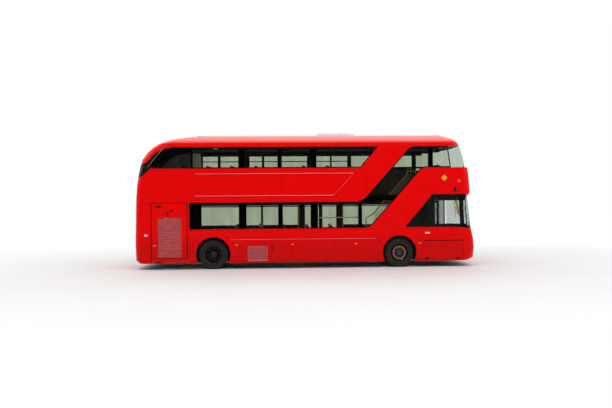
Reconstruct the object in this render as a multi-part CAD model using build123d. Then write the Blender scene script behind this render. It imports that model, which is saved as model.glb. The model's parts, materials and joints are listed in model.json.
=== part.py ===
from build123d import *
import math
import os

# Double-decker city bus, right-hand drive.  +X is forward, +Y is the bus's left
# (kerb and door side), +Z is up, the origin is on the ground under the middle of the body.
# All lengths are in millimetres, all angles in degrees.

# Overall body
body_length = 11230.0
body_width = 2520.0
wall = 55.0
glass = 10.0
door_gap = 8.0

# Axles and wheels
front_overhang = 2620.0
rear_overhang = 2585.0
hub_z = 470.0
tyre_r = 470.0
tyre_w = 275.0
rim_r = 292.0
front_track = 2140.0
twin_pitch = 320.0
arch_r = 550.0
arch_z = 490.0
steer_pin_inset = 105.0

# Heights of the bands
skirt_z = 200.0
floor_z = 360.0
floor_t = 50.0
sill_z = 1288.0
head_z = 2145.0
deck_z = 2300.0
deck_t = 90.0
upper_sill_z = 3240.0
upper_head_z = 3932.0
cantrail_z = 3960.0
roof_z = 4310.0
roof_side = 345.0
crown = 70.0

# Slanted stair glass: forward run for each unit of rise
slant = 0.893

# Underframe rails and the towing sockets in its end bars
rail_z = 215.0
rail_y = 450.0
rail_w = 70.0
axle_room = 150.0
tow_r = 16.0
tow_depth = 90.0
tow_y = 520.0
tow_rise = 48.0
tow_access_r = 34.0

# Doors
door_head_z = 2250.0
front_door_w = 1200.0
front_door_ahead = 755.0
middle_door_w = 1300.0
middle_door_x = -60.0
rear_door_w = 960.0
rear_door_inset = 405.0
leaf_t = 34.0
leaf_frame = 60.0
edge_gap = 20.0

# Places worked out from the sizes above
nose_x = body_length / 2
tail_x = -body_length / 2
half_w = body_width / 2
inner_w = half_w - wall
front_axle_x = nose_x - front_overhang
rear_axle_x = tail_x + rear_overhang
wheel_y = front_track / 2
pin_y = wheel_y - steer_pin_inset
front_door_x = front_axle_x + front_door_ahead
rear_door_x = tail_x + rear_door_inset
panel_z = deck_z + 30.0
lower_ceiling = deck_z - deck_t
under_z = floor_z - floor_t
tow_z = rail_z + tow_rise
front_split_x = nose_x - 660.0
rear_split_x = tail_x + 600.0
lower_rear_x = rear_axle_x - 760.0
upper_rear_x = rear_axle_x - 690.0
swoosh_foot_x = front_axle_x - 1220.0

# Body sections: height, setback of the nose and of the tail, setback of each side,
# and the corner radius at the nose and at the tail
SECTIONS = [
    (skirt_z, 215, 120, 20, 310, 310),
    (skirt_z + 90, 35, 15, 0, 330, 330),
    (skirt_z + 400, 0, 0, 0, 330, 330),
    (skirt_z + 700, 22, 0, 0, 330, 330),
    (sill_z - 58, 95, 5, 0, 330, 340),
    (deck_z, 215, 25, 0, 330, 350),
    (deck_z + 460, 245, 60, 0, 330, 365),
    (upper_sill_z - 140, 268, 115, 0, 330, 380),
    (upper_sill_z + 110, 300, 170, 0, 335, 400),
    (upper_head_z - 372, 350, 235, 0, 340, 420),
    (upper_head_z - 172, 408, 380, 0, 350, 450),
    (upper_head_z + 8, 465, 560, 0, 360, 480),
    (roof_z - 250, 530, 740, 16, 365, 495),
    (roof_z - 150, 640, 985, 62, 370, 510),
    (roof_z - 70, 800, 1290, 142, 375, 530),
    (roof_z - 20, 960, 1640, 240, 380, 550),
    (roof_z, 1120, 2000, roof_side, 380, 560),
]
# The destination panel between the two windscreens stands proud of the glass
PANEL_SECTIONS = [
    (panel_z, 175, 25, 0, 350, 350),
    (deck_z + 120, 118, 30, 0, 370, 350),
    (deck_z + 340, 133, 50, 0, 370, 350),
    (upper_sill_z - 180, 168, 110, 0, 370, 380),
    (upper_sill_z + 10, 200, 150, 0, 360, 390),
]
nose_bow = 5000.0
tail_bow = 8000.0

os.makedirs("parts", exist_ok=True)


def save(name, *shapes):
    solids = []
    for shape in shapes:
        solids += shape.solids()
    export_step(Compound(solids), "parts/" + name + ".step")


def block(x0, x1, y0, y1, z0, z1):
    return Pos((x0 + x1) / 2, (y0 + y1) / 2, (z0 + z1) / 2) * Box(x1 - x0, y1 - y0, z1 - z0)


def closed_face(plane, points, radius):
    radii = radius if isinstance(radius, list) else [radius] * len(points)
    with BuildSketch(plane) as sketch:
        with BuildLine():
            if any(radii):
                FilletPolyline(*points, radius=radii, close=True)
            else:
                Polyline(*points, close=True)
        make_face()
    return sketch.sketch


def side_prism(points, y0, y1, radius=0.0):
    """A side-view outline of (x, z) points, extruded across the bus from y0 to y1."""
    plane = Plane((0, y1, 0), x_dir=(1, 0, 0), z_dir=(0, -1, 0))
    return extrude(closed_face(plane, points, radius), y1 - y0)


def end_prism(points, x0, x1, radius=0.0):
    """An end-view outline of (y, z) points, extruded along the bus from x0 to x1."""
    plane = Plane((x0, 0, 0), x_dir=(0, 1, 0), z_dir=(1, 0, 0))
    return extrude(closed_face(plane, points, radius), x1 - x0)


def rod(start, end, radius):
    axis = Vector(*end) - Vector(*start)
    plane = Plane(start, z_dir=axis)
    return extrude(plane * Circle(radius), axis.length)


def ring(z, nose, tail, side, nose_r, tail_r, inset):
    """The body's outline at one height: bowed ends, round corners, straight sides."""
    w = half_w - side - inset

    def end(x, r, bow, way):
        centre = x - way * bow
        corner_y = w - r
        reach = math.sqrt((bow - r) ** 2 - corner_y ** 2)
        corner_x = centre + way * reach
        ux = reach / (bow - r)
        uy = corner_y / (bow - r)
        angle = (math.atan2(uy, ux) + math.pi / 2) / 2
        middle = (corner_x + way * r * math.cos(angle), corner_y + r * math.sin(angle))
        return corner_x, (centre + way * ux * bow, uy * bow), middle

    nose_at = nose_x - nose - inset
    tail_at = tail_x + tail + inset
    fx, ft, fm = end(nose_at, nose_r - inset, nose_bow - inset, 1)
    rx, rt, rm = end(tail_at, tail_r - inset, tail_bow - inset, -1)
    return Wire([
        Line((rx, w, z), (fx, w, z)),
        ThreePointArc((fx, w, z), (fm[0], fm[1], z), (ft[0], ft[1], z)),
        ThreePointArc((ft[0], ft[1], z), (nose_at, 0, z), (ft[0], -ft[1], z)),
        ThreePointArc((ft[0], -ft[1], z), (fm[0], -fm[1], z), (fx, -w, z)),
        Line((fx, -w, z), (rx, -w, z)),
        ThreePointArc((rx, -w, z), (rm[0], -rm[1], z), (rt[0], -rt[1], z)),
        ThreePointArc((rt[0], -rt[1], z), (tail_at, 0, z), (rt[0], rt[1], z)),
        ThreePointArc((rt[0], rt[1], z), (rm[0], rm[1], z), (rx, w, z)),
    ])


def body_form(inset, sections=SECTIONS):
    """The solid body form, drawn in by inset on every side but the open underside."""
    rings = []
    for z, nose, tail, side, nose_r, tail_r in sections:
        lowered = inset * max(0.0, (z - upper_head_z) / (roof_z - upper_head_z))
        rings.append(ring(z - lowered, nose, tail, side, nose_r, tail_r, inset))
    return Solid.make_loft(rings, ruled=True)


def swoosh_x(z):
    """X of the rear edge of the slanted stair glass at height z."""
    return swoosh_foot_x + slant * (z - head_z)


# Window outlines in side view
far = body_length
SWOOSH = [
    (lower_rear_x, sill_z),
    (lower_rear_x, head_z),
    (swoosh_foot_x, head_z),
    (swoosh_foot_x + slant * (upper_head_z - head_z), upper_head_z),
    (front_axle_x + 1605, upper_head_z),
    (front_axle_x + 1705, upper_sill_z),
    (front_axle_x + 777, upper_sill_z),
    (front_axle_x + 777 - slant * (upper_sill_z - sill_z), sill_z),
]
SWOOSH_RADII = [30.0, 30.0, 500.0, 300.0, 20.0, 20.0, 250.0, 420.0]
UPPER_BAND = [
    (upper_rear_x, upper_sill_z),
    (upper_rear_x, upper_head_z),
    (front_axle_x - 675, upper_head_z),
    (front_axle_x - 675 - 0.82 * (upper_head_z - upper_sill_z), upper_sill_z),
]
CAB_WINDOW = [
    (front_axle_x + 178, sill_z + 15),
    (front_axle_x + 1089, head_z + 225),
    (nose_x - 427, head_z + 220),
    (nose_x - 370, sill_z),
]
UPPER_SCREEN = [
    (front_axle_x + 1605, upper_head_z),
    (front_axle_x + 1705, upper_sill_z),
    (far, upper_sill_z),
    (far, upper_head_z),
]
LOWER_SCREEN = [
    (nose_x - 427, head_z + 185),
    (nose_x - 370, sill_z - 34),
    (far, sill_z - 34),
    (far, head_z + 185),
]
REAR_QUARTER = [
    (upper_rear_x, upper_sill_z),
    (upper_rear_x, upper_head_z),
    (tail_x + 1345, upper_head_z),
    (tail_x + 1000, upper_head_z - 60),
    (tail_x + 690, upper_head_z - 250),
    (tail_x + 480, upper_head_z - 500),
    (-far, upper_head_z - 500),
    (-far, upper_sill_z - 540),
    (tail_x + 285, upper_sill_z - 280),
    (tail_x + 600, upper_sill_z),
]
# The rear stair glass in end view, as (y, z) points
REAR_SWOOSH = [
    (-half_w + 340, upper_head_z - 500),
    (far, upper_head_z - 500),
    (far, sill_z + 30),
    (500, sill_z + 30),
    (-half_w + 340, upper_sill_z - 400),
]

# Forms that the panels and panes are cut from
outer = body_form(0.0)
cabin = body_form(wall)
shell = outer - cabin
pane_skin = outer - body_form(glass)
panel_form = body_form(0.0, PANEL_SECTIONS)

# Cutters for the windows, by side
wide = half_w + 100.0
near = half_w - 400.0
swoosh_cut = side_prism(SWOOSH, -wide, -near, SWOOSH_RADII)
band_right = side_prism(UPPER_BAND, -wide, -near)
cab_cut = side_prism(CAB_WINDOW, -wide, -near)
upper_screen_cut = side_prism(UPPER_SCREEN, -wide, wide)
lower_screen_cut = side_prism(LOWER_SCREEN, -wide, wide)
quarter_cut = side_prism(REAR_QUARTER, -wide, -near) + side_prism(REAR_QUARTER, near, wide)
rear_cut = end_prism(REAR_SWOOSH, -far, rear_split_x)
BAND_LEFT = [
    (upper_rear_x, upper_sill_z),
    (upper_rear_x, upper_head_z),
    (front_axle_x + 1605, upper_head_z),
    (front_axle_x + 1705, upper_sill_z),
]
band_left = side_prism(BAND_LEFT, near, wide)
LEFT_WINDOWS = [
    # rear edge, front edge
    (rear_door_x + rear_door_w + 200, middle_door_x - 150),
    (middle_door_x + middle_door_w + 150, front_door_x - 130),
]
windows_low = [block(x0, x1, near, wide, sill_z, head_z) for x0, x1 in LEFT_WINDOWS]

# Doorways, as (rear x, width)
doorways = [
    (front_door_x, front_door_w),
    (middle_door_x, middle_door_w),
    (rear_door_x, rear_door_w),
]
doorway_cuts = [
    block(x, x + w, near, wide, skirt_z + 110, door_head_z) for x, w in doorways
]
arch_cuts = [
    Pos(x, y, arch_z) * Rot(90, 0, 0) * Cylinder(arch_r, 500)
    for x in (front_axle_x, rear_axle_x) for y in (-half_w, half_w)
]
engine_door_x0 = tail_x + 630.0
engine_door_x1 = tail_x + 1739.0
engine_door_z0 = skirt_z + 40.0
engine_door_z1 = head_z - 15.0
engine_door_cut = block(
    engine_door_x0 - door_gap, engine_door_x1 + door_gap, -wide, -near,
    engine_door_z0 - door_gap, engine_door_z1 + door_gap)

tall = roof_z + 100.0
front_zone = block(front_split_x, far, -wide, wide, 0, cantrail_z)
rear_zone = block(-far, rear_split_x, -wide, wide, 0, cantrail_z)
right_zone = block(rear_split_x, front_split_x, -wide, 0, 0, cantrail_z)
left_zone = block(rear_split_x, front_split_x, 0, wide, 0, cantrail_z)
roof_zone = block(-far, far, -wide, wide, cantrail_z, tall)

windows_right = [swoosh_cut, band_right, cab_cut, upper_screen_cut, lower_screen_cut, quarter_cut]
windows_left = [band_left, upper_screen_cut, quarter_cut] + windows_low


def cut_all(solid, cutters):
    for cutter in cutters:
        solid = solid - cutter
    return solid


# Outer panels
side_right = cut_all(shell & right_zone, windows_right + arch_cuts + [engine_door_cut])
side_left = cut_all(shell & left_zone, windows_left + arch_cuts + doorway_cuts)
rear_wall = cut_all(shell & rear_zone, [quarter_cut, rear_cut] + doorway_cuts)
roof = shell & roof_zone
front_shell = cut_all(shell & front_zone, [upper_screen_cut, lower_screen_cut, cab_cut])
cowl = front_shell & block(front_split_x, far, -wide, wide, 0, sill_z - 34)
panel_zone = block(front_split_x, far, -wide, wide, panel_z, upper_sill_z)
front_panel = (panel_form & panel_zone) - cabin - cab_cut

# Raised mouldings that frame a bare panel on the right side: bottom, top and slanted end
trim = 12.0
trim_h = 26.0
frame_z0 = deck_z + 38.0
frame_z1 = upper_sill_z - 192.0
frame_x0 = rear_axle_x - 564.0
frame_x1 = swoosh_x(frame_z0) - 1080.0
frame_x2 = frame_x1 + slant * (frame_z1 - frame_z0)
mouldings = [
    side_prism(points, -half_w - trim, -half_w)
    for points in (
        [(frame_x0, frame_z0), (frame_x0, frame_z0 + trim_h), (frame_x1, frame_z0 + trim_h),
         (frame_x1, frame_z0)],
        [(frame_x0, frame_z1), (frame_x0, frame_z1 + trim_h), (frame_x2, frame_z1 + trim_h),
         (frame_x2, frame_z1)],
        [(frame_x1, frame_z0), (frame_x1, frame_z0 + trim_h), (frame_x2 - 20, frame_z1),
         (frame_x2 + 10, frame_z1)],
    )
]
for moulding in mouldings:
    side_right = side_right + moulding

# Louvred vent low in the right side: the slats reach into the cut edges of the wall
slat_pitch = 62.0
slat_tilt = 35.0
slat_w = 44.0
slat_t = 6.0
slat_in = 18.0


def louvre(x0, x1, z0, z1):
    """The slats of a louvred opening in the right side, one for each pitch of its height."""
    count = int((z1 - z0) / slat_pitch)
    middle = Pos((x0 + x1) / 2, -half_w + slat_in, z0)
    slat = Rot(slat_tilt, 0, 0) * Box(x1 - x0 + 4, slat_t, slat_w)
    return [middle * Pos(0, 0, (i + 0.5) * (z1 - z0) / count) * slat for i in range(count)]


vent = (rear_axle_x + 1127.0, rear_axle_x + 1715.0, skirt_z + 72.0, skirt_z + 512.0)
side_right = side_right - block(vent[0], vent[1], -wide, -near, vent[2], vent[3])
for slat in louvre(*vent):
    side_right = side_right + slat

save("side_wall_left", side_left)
save("roof", roof)
tow_holes = None
for y in (-tow_y, tow_y):
    hole = rod((-far, y, tow_z), (far, y, tow_z), tow_access_r)
    tow_holes = hole if tow_holes is None else tow_holes + hole
cowl = cowl - tow_holes
rear_wall = rear_wall - tow_holes

# Round lamps, each seated in a pocket with a shadow gap round its lens
lamp_lift = 6.0
pocket_depth = 34.0
pocket_gap = 9.0
tail_lamp_y = half_w - 250.0
tail_lamp_z = 760.0
tail_lamp_pitch = 150.0
HEADLAMPS = [
    # y, z, radius
    (half_w - 360, 640, 88),
    (half_w - 500, 560, 62),
]
TAIL_LAMPS = [(tail_lamp_y, tail_lamp_z + i * tail_lamp_pitch, 60) for i in range(3)]
lens_front = body_form(-lamp_lift)
pocket_back = body_form(pocket_depth)


def lamp_set(table, x0, x1):
    """The lenses of a lamp table and the pockets to cut for them, on both sides."""
    lenses = []
    pockets = []
    for y, z, r in table:
        for way in (-1, 1):
            start = (x0, way * y, z)
            stop = (x1, way * y, z)
            lenses.append((rod(start, stop, r) & lens_front) - pocket_back)
            pockets.append((rod(start, stop, r + pocket_gap) & outer) - pocket_back)
    return lenses, pockets


headlamps, front_pockets = lamp_set(HEADLAMPS, nose_x - 300, nose_x + 50)
tail_lamps, rear_pockets = lamp_set(TAIL_LAMPS, tail_x + 300, tail_x - 50)
cowl = cut_all(cowl, front_pockets)
rear_wall = cut_all(rear_wall, rear_pockets)
save("headlamps", *headlamps)
save("tail_lamps", *tail_lamps)
save("rear_wall", rear_wall)
save("front_cowl", cowl)
save("front_panel", front_panel)

# Window glass: one skin, cut to each opening
rear_glass_zone = block(-far, upper_rear_x, -wide, wide, 0, tall)
side_glass_right = Compound(
    [s for cut in (swoosh_cut, band_right, cab_cut) for s in (pane_skin & cut).solids()])
side_glass_left = Compound(
    [s for cut in [band_left] + windows_low for s in (pane_skin & cut).solids()])
screens = Compound(
    [s for cut in (upper_screen_cut, lower_screen_cut) for s in (pane_skin & cut).solids()])
quarter_all = quarter_cut + rear_cut
for cut in doorway_cuts:
    quarter_all = quarter_all - cut
rear_glass = pane_skin & quarter_all & rear_glass_zone
save("side_glazing_right", side_glass_right)
save("side_glazing_left", side_glass_left)
save("windscreens", screens - cab_cut)
save("rear_glazing", rear_glass)


# Floors.  The upper deck has a well above each staircase.
lower_floor = cabin & block(-far, front_split_x + 250, -wide, wide, under_z, floor_z)
box_t = 25.0
box_gap = 38.0
flap_z = skirt_z - 20.0
flap_gap = 25.0
WHEEL_BOXES = [
    # x, inner face
    (front_axle_x, wheel_y - 545.0),
    (rear_axle_x, wheel_y - 540.0),
]


def wheel_tunnel(x, radius, y_inner, y_outer, floor_level):
    half = Pos(x, (y_inner + y_outer) / 2, arch_z) * Rot(90, 0, 0) * Cylinder(radius, y_outer - y_inner)
    foot = block(x - radius, x + radius, y_inner, y_outer, floor_level, arch_z)
    above = block(x - radius, x + radius, y_inner, y_outer, floor_level, arch_z + radius)
    return (half & above) + foot


wheel_box_solids = []
radius = arch_r + box_gap
for x, y_in in WHEEL_BOXES:
    for way in (-1, 1):
        y_a, y_b = sorted((way * y_in, way * inner_w))
        hull = wheel_tunnel(x, radius, y_a, y_b, under_z)
        i_a, i_b = sorted((way * (y_in + box_t), way * (inner_w + 10)))
        hollow = wheel_tunnel(x, radius - box_t, i_a, i_b, under_z - 10)
        wheel_box = hull - hollow
        flap_a, flap_b = sorted((way * y_in, way * (inner_w - flap_gap)))
        for end in (-1, 1):
            x_a, x_b = sorted((x + end * (radius - box_t), x + end * radius))
            wheel_box = wheel_box + block(x_a, x_b, flap_a, flap_b, flap_z, under_z + 1)
        wheel_box_solids.append(wheel_box)
        lower_floor = lower_floor - hull

# Stairs: a front flight that follows the slanted glass, and a rear flight along the tail
steps = 9
soffit = 120.0
tread_w = 640.0
well_start = 250.0
well_gap = 20.0
screen_t = 25.0


def flight(run):
    """Saw-tooth flight in its own plane: starts at (0, floor), climbs to the deck along +u."""
    rise = (deck_z - floor_z) / steps
    going = run / steps
    top = []
    for i in range(steps):
        top.append((i * going, floor_z + i * rise + rise))
        top.append(((i + 1) * going, floor_z + i * rise + rise))
    top[-1] = (run, deck_z)
    return [(0.0, floor_z)] + top + [(run, deck_z - soffit), (going, floor_z)]


front_run = slant * (deck_z - floor_z)
front_stair_x = front_axle_x - 1100.0
front_points = [(front_stair_x + u, v) for u, v in flight(front_run)]
front_stairs = side_prism(front_points, -inner_w, -inner_w + tread_w)
rear_stair_y = half_w - 330.0
rear_run = front_run
rear_points = [(rear_stair_y - u, v) for u, v in flight(rear_run)]
rear_stair_x0 = tail_x + 165.0
rear_stairs = end_prism(rear_points, rear_stair_x0, rear_stair_x0 + tread_w)

front_well_x = front_stair_x + well_start
front_well_y = -inner_w + tread_w + well_gap
front_well = block(
    front_well_x, front_stair_x + front_run, -inner_w, front_well_y, lower_ceiling - 5, deck_z + 5)
rear_well_x = rear_stair_x0 + tread_w + well_gap
rear_well = block(-far, rear_well_x, rear_stair_y - rear_run, wide, lower_ceiling - 5, deck_z + 5)
upper_floor = cabin & block(-far, nose_x - 290, -wide, wide, lower_ceiling, deck_z)
upper_floor = upper_floor - front_well - rear_well
bay_x = tail_x + 1715.0
bay_y = 150.0
plate = 30.0
lower_floor = lower_floor - block(-far, bay_x, -wide, bay_y, 0, floor_z + 1)
save("lower_floor", lower_floor)
save("upper_floor", upper_floor)
save("wheel_boxes", *wheel_box_solids)
# A solid screen stands on the deck beside and behind the front well
screen_x0 = front_well_x - screen_t
screen_x1 = front_stair_x + front_run - 220
screen_top = upper_sill_z - 20.0
screen = block(screen_x0, screen_x1, front_well_y, front_well_y + screen_t, deck_z, screen_top)
screen = screen + block(screen_x0, front_well_x, -inner_w, front_well_y, deck_z, screen_top)
save("front_stairs", front_stairs, screen)
save("rear_stairs", rear_stairs & cabin)


# Engine bay under the rear stairs, closed off from the saloon, with its engine
under_foot = rear_stair_y - rear_run / steps
under_top = rear_stair_y - rear_run
stair_space = end_prism([
    (under_foot, floor_z), (under_top, deck_z - soffit), (-wide, deck_z - soffit),
    (-wide, tall), (wide, tall), (wide, floor_z)], -far, rear_well_x)
bay_walls = block(bay_x, bay_x + plate, -inner_w, bay_y + plate, floor_z, lower_ceiling)
bay_walls = bay_walls + block(
    rear_well_x, bay_x, bay_y, bay_y + plate, floor_z, lower_ceiling)
bay_walls = bay_walls + (block(
    tail_x, rear_well_x, bay_y, bay_y + plate, floor_z, lower_ceiling)
    & cabin) - stair_space
engine_x = tail_x + 480.0
engine_y = -inner_w + 225.0
engine_l = 980.0
engine_w = 760.0
engine_h = 860.0
engine = block(
    engine_x, engine_x + engine_l, engine_y, engine_y + engine_w, under_z, under_z + engine_h)
engine = fillet(engine.edges().filter_by(Axis.Z), 60)
save("engine_bay_walls", bay_walls)
save("engine_block", engine)

# Underframe: three ladders that stop at the axles, with an end bar that carries two towing sockets
end_bar = 50.0
boss_r = 42.0
frame_front = nose_x - 420.0
frame_rear = tail_x + 320.0
rail_runs = [
    (frame_rear, rear_axle_x - axle_room),
    (rear_axle_x + axle_room, front_axle_x - axle_room),
    (front_axle_x + axle_room, frame_front),
]
chassis = None
for x0, x1 in rail_runs:
    for way in (-1, 1):
        y = way * rail_y
        rail = block(x0, x1, y - rail_w / 2, y + rail_w / 2, rail_z, under_z)
        chassis = rail if chassis is None else chassis + rail
    for x in (x0, x1 - rail_w):
        chassis = chassis + block(x, x + rail_w, -rail_y, rail_y, rail_z, under_z)
bosses = []
bar_y = tow_y + boss_r
for x, way in ((frame_front, 1), (frame_rear, -1)):
    bar_x = x + way * end_bar
    mouth_x = bar_x + way * tow_depth
    chassis = chassis + block(*sorted((x, bar_x)), -bar_y, bar_y, rail_z, under_z)
    for y in (-tow_y, tow_y):
        boss = rod((bar_x, y, tow_z), (mouth_x, y, tow_z), boss_r)
        bosses.append(boss - rod((bar_x - way, y, tow_z), (mouth_x + way, y, tow_z), tow_r))
save("chassis_frame", chassis)
save("towing_bosses", *bosses)

# Black pillars, rails and ceiling coves behind the glass.  In each band they make one frame.
cove_w = 200.0
upper_cove_z = upper_head_z - 122.0
lower_cove_z = head_z - 110.0
bar_h = 30.0
far_bar_z = upper_head_z - 305.0
transom_z = head_z - 140.0
upper_cove_front = front_axle_x + 1300.0
lower_cove_front = front_axle_x - 1160.0
POST_UPPER = [
    # x, width
    (rear_axle_x - 690, 60),
    (rear_axle_x + 935, 230),
    (rear_axle_x + 2150, 140),
    (front_axle_x - 2787, 200),
    (front_axle_x + 1035, 155),
]
POST_UPPER_LEFT = [
    (rear_axle_x - 45, 100),
    (rear_axle_x + 1540, 85),
    (front_axle_x - 2015, 60),
    (front_axle_x - 1345, 145),
]
POST_LOWER = [
    (rear_axle_x - 570, 400),
    (rear_axle_x + 955, 230),
    (rear_axle_x + 2165, 150),
    (front_axle_x - 2767, 240),
    (front_axle_x - 1280, 125),
]
POST_LOWER_LEFT = [
    (rear_axle_x + 780, 265),
    (rear_axle_x + 1485, 85),
]
# Bands across the stair glass, at the deck edge and at the upper sill
STAIR_BANDS = [
    # bottom, top
    (lower_ceiling - 40.0, deck_z + 50.0),
    (upper_sill_z - 35.0, upper_sill_z + 20.0),
]
band_back = swoosh_foot_x - 500.0
band_front = front_axle_x + 777.0


def cove(x0, x1, z0, z1, way):
    """A ceiling cove along one side: its back lies on the wall, its face leans in towards the aisle."""
    profile = [
        (inner_w, z0), (inner_w, z1), (inner_w - cove_w, z1), (inner_w - cove_w, z0 + 0.6 * (z1 - z0)),
        (inner_w - 0.45 * cove_w, z0),
    ]
    return end_prism([(way * y, z) for y, z in profile], x0, x1)


def wall_bar(x0, x1, z0, z1, way):
    """A post or rail in the depth of the wall, behind the glass of one side."""
    y0, y1 = sorted((way * (half_w - glass), way * inner_w))
    return block(x0, x1, y0, y1, z0, z1)


frames = []
for way in (-1, 1):
    frame = cove(upper_rear_x, upper_cove_front, upper_cove_z, upper_head_z, way)
    for x, w in POST_UPPER + (POST_UPPER_LEFT if way > 0 else []):
        x = max(x, upper_rear_x + w / 2)
        frame = frame + wall_bar(x - w / 2, x + w / 2, upper_sill_z, upper_head_z, way)
    if way > 0:
        bar_end = POST_UPPER_LEFT[-1][0]
        frame = frame + wall_bar(upper_rear_x, bar_end, far_bar_z - bar_h / 2, far_bar_z + bar_h / 2, way)
    frames.append(frame)
frame = cove(lower_rear_x, lower_cove_front, lower_cove_z, lower_ceiling, -1)
transom = wall_bar(lower_rear_x, swoosh_foot_x, transom_z - bar_h / 2, transom_z + bar_h / 2, -1)
for x, w in POST_LOWER:
    frame = frame + (wall_bar(x - w / 2, x + w / 2, sill_z, head_z, -1) & swoosh_cut)
frames.append(frame + (transom & swoosh_cut))
for z0, z1 in STAIR_BANDS:
    frames.append(wall_bar(band_back, band_front, z0, z1, -1) & swoosh_cut)
for (x0, x1), posts in zip(LEFT_WINDOWS, (POST_LOWER_LEFT, [])):
    frame = cove(x0 - 50, x1 + 50, lower_cove_z, lower_ceiling, 1)
    for x, w in posts:
        frame = frame + wall_bar(x - w / 2, x + w / 2, sill_z, head_z, 1)
    frames.append(frame + wall_bar(x0, x1, transom_z - bar_h / 2, transom_z + bar_h / 2, 1))
save("window_pillars", *frames)

# Front axle: a dropped beam that passes under the low floor, with an eye and pin at each end
eye_r = 45.0
eye_h = 50.0
pin_r = 22.0
pin_fit = 0.05
ear_t = 30.0
ear_gap = 7.0
beam_half = 45.0
beam_z0 = 185.0
beam_z1 = 285.0
BEAM = [
    (0, beam_z0), (pin_y - 185, beam_z0), (pin_y - 75, hub_z - 45), (pin_y, hub_z - 45),
    (pin_y, hub_z + 45), (pin_y - 110, hub_z + 45), (pin_y - 225, beam_z1), (0, beam_z1),
]
front_axle = None
for way in (-1, 1):
    half = end_prism([(way * y, z) for y, z in BEAM], front_axle_x - beam_half, front_axle_x + beam_half)
    end = Pos(front_axle_x, way * pin_y, hub_z) * Cylinder(eye_r, 2 * eye_h)
    pin = Pos(front_axle_x, way * pin_y, hub_z) * Cylinder(pin_r, 2 * (eye_h + ear_gap + ear_t))
    clear = Pos(front_axle_x, way * (pin_y + 50), hub_z) * Box(200, 100, 120)
    pad = block(front_axle_x - 45, front_axle_x + 45, *sorted((way * 330, way * 470)), beam_z1, under_z)
    half = half - clear + end + pin + pad
    front_axle = half if front_axle is None else front_axle + half
save("front_axle", front_axle)

# Steering knuckles: a fork over the eye, a web and a spindle for the hub
spindle_r = 35.0
web_in = eye_r + 8.0
web_out = web_in + 22.0
hub_out = steer_pin_inset + 80.0
for label, way in (("left", 1), ("right", -1)):
    fork = block(-40, 40, web_in, web_out, -eye_h - ear_gap - ear_t, eye_h + ear_gap + ear_t)
    for up in (-1, 1):
        z0, z1 = sorted((up * (eye_h + ear_gap), up * (eye_h + ear_gap + ear_t)))
        fork = fork + block(-40, 40, 0, web_out, z0, z1)
        fork = fork + Pos(0, 0, (z0 + z1) / 2) * Cylinder(eye_r - 5, ear_t)
        fork = fork - Pos(0, 0, (z0 + z1) / 2) * Cylinder(pin_r + pin_fit, ear_t + 2)
    fork = fork + rod((0, web_out - 1, 0), (0, hub_out, 0), spindle_r)
    turn = 0 if way > 0 else 180
    save("knuckle_" + label, Pos(front_axle_x, way * pin_y, hub_z) * Rot(0, 0, turn) * fork)

# Rear axle: a low beam with drop plates, brake drums and spindles
rear_spindle_r = 60.0
plate_y0 = wheel_y - 505.0
plate_y1 = plate_y0 + 38.0
rear_axle = block(rear_axle_x - 90, rear_axle_x + 90, -plate_y1, plate_y1, beam_z0, beam_z1)
rear_axle = rear_axle + Pos(rear_axle_x, 0, (beam_z0 + beam_z1) / 2) * Rot(90, 0, 0) * Cylinder(120, 300) \
    - block(rear_axle_x - 200, rear_axle_x + 200, -200, 200, beam_z1 + 5, 600)
for way in (-1, 1):
    y0, y1 = sorted((way * plate_y0, way * plate_y1))
    rear_axle = rear_axle + block(rear_axle_x - 110, rear_axle_x + 110, y0, y1, beam_z0, hub_z)
    rear_axle = rear_axle + rod(
        (rear_axle_x, way * plate_y0, hub_z), (rear_axle_x, way * plate_y1, hub_z), 150)
    rear_axle = rear_axle + rod(
        (rear_axle_x, way * plate_y1, hub_z), (rear_axle_x, way * (plate_y1 + 130), hub_z), 190)
    rear_axle = rear_axle + rod(
        (rear_axle_x, way * plate_y1, hub_z), (rear_axle_x, way * (wheel_y + 20), hub_z), rear_spindle_r)
    pad_y = sorted((way * 330, way * 470))
    rear_axle = rear_axle + block(
        rear_axle_x - 60, rear_axle_x + 60, *pad_y, beam_z1, under_z)
save("rear_axle", rear_axle)

# Wheels, each turned about its own Y axis with +Y outward from the bus
running = 0.05
barrel_t = 12.0
TYRE = [
    (-105, rim_r), (-tyre_w / 2, rim_r + 60), (-tyre_w / 2, tyre_r - 60), (-tyre_w / 2 + 30, tyre_r),
    (tyre_w / 2 - 30, tyre_r), (tyre_w / 2, tyre_r - 60), (tyre_w / 2, rim_r + 60), (105, rim_r),
]
TYRE_RADII = [0.0, 40.0, 60.0, 18.0, 18.0, 60.0, 40.0, 0.0]
BARREL = [
    (-112, rim_r), (-112, rim_r - barrel_t), (112, rim_r - barrel_t), (112, rim_r),
]
FRONT_DISC = [
    (48, spindle_r + running), (72, spindle_r + running), (86, 130), (86, 222), (40, 262),
    (28, rim_r - barrel_t + 2), (10, rim_r - barrel_t + 2), (22, 258), (60, 215), (56, 130), (48, 100),
]
FRONT_HUB = [
    (web_out - steer_pin_inset + 8, spindle_r + running), (84, spindle_r + running), (84, 0),
    (130, 0), (130, 70), (112, 100), (web_out - steer_pin_inset + 8, 100),
]
NUT_RING = [(84, 132), (84, 220), (98, 216), (98, 136)]
twin_mid = -twin_pitch / 2
REAR_DISC = [
    (twin_mid - 12, rear_spindle_r + running), (twin_mid - 12, 225), (twin_mid - 12, rim_r - barrel_t + 2),
    (twin_mid + 12, rim_r - barrel_t + 2), (twin_mid + 12, 225), (twin_mid + 12, rear_spindle_r + running),
]
rear_hub_in = plate_y1 + 142 - wheel_y
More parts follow.
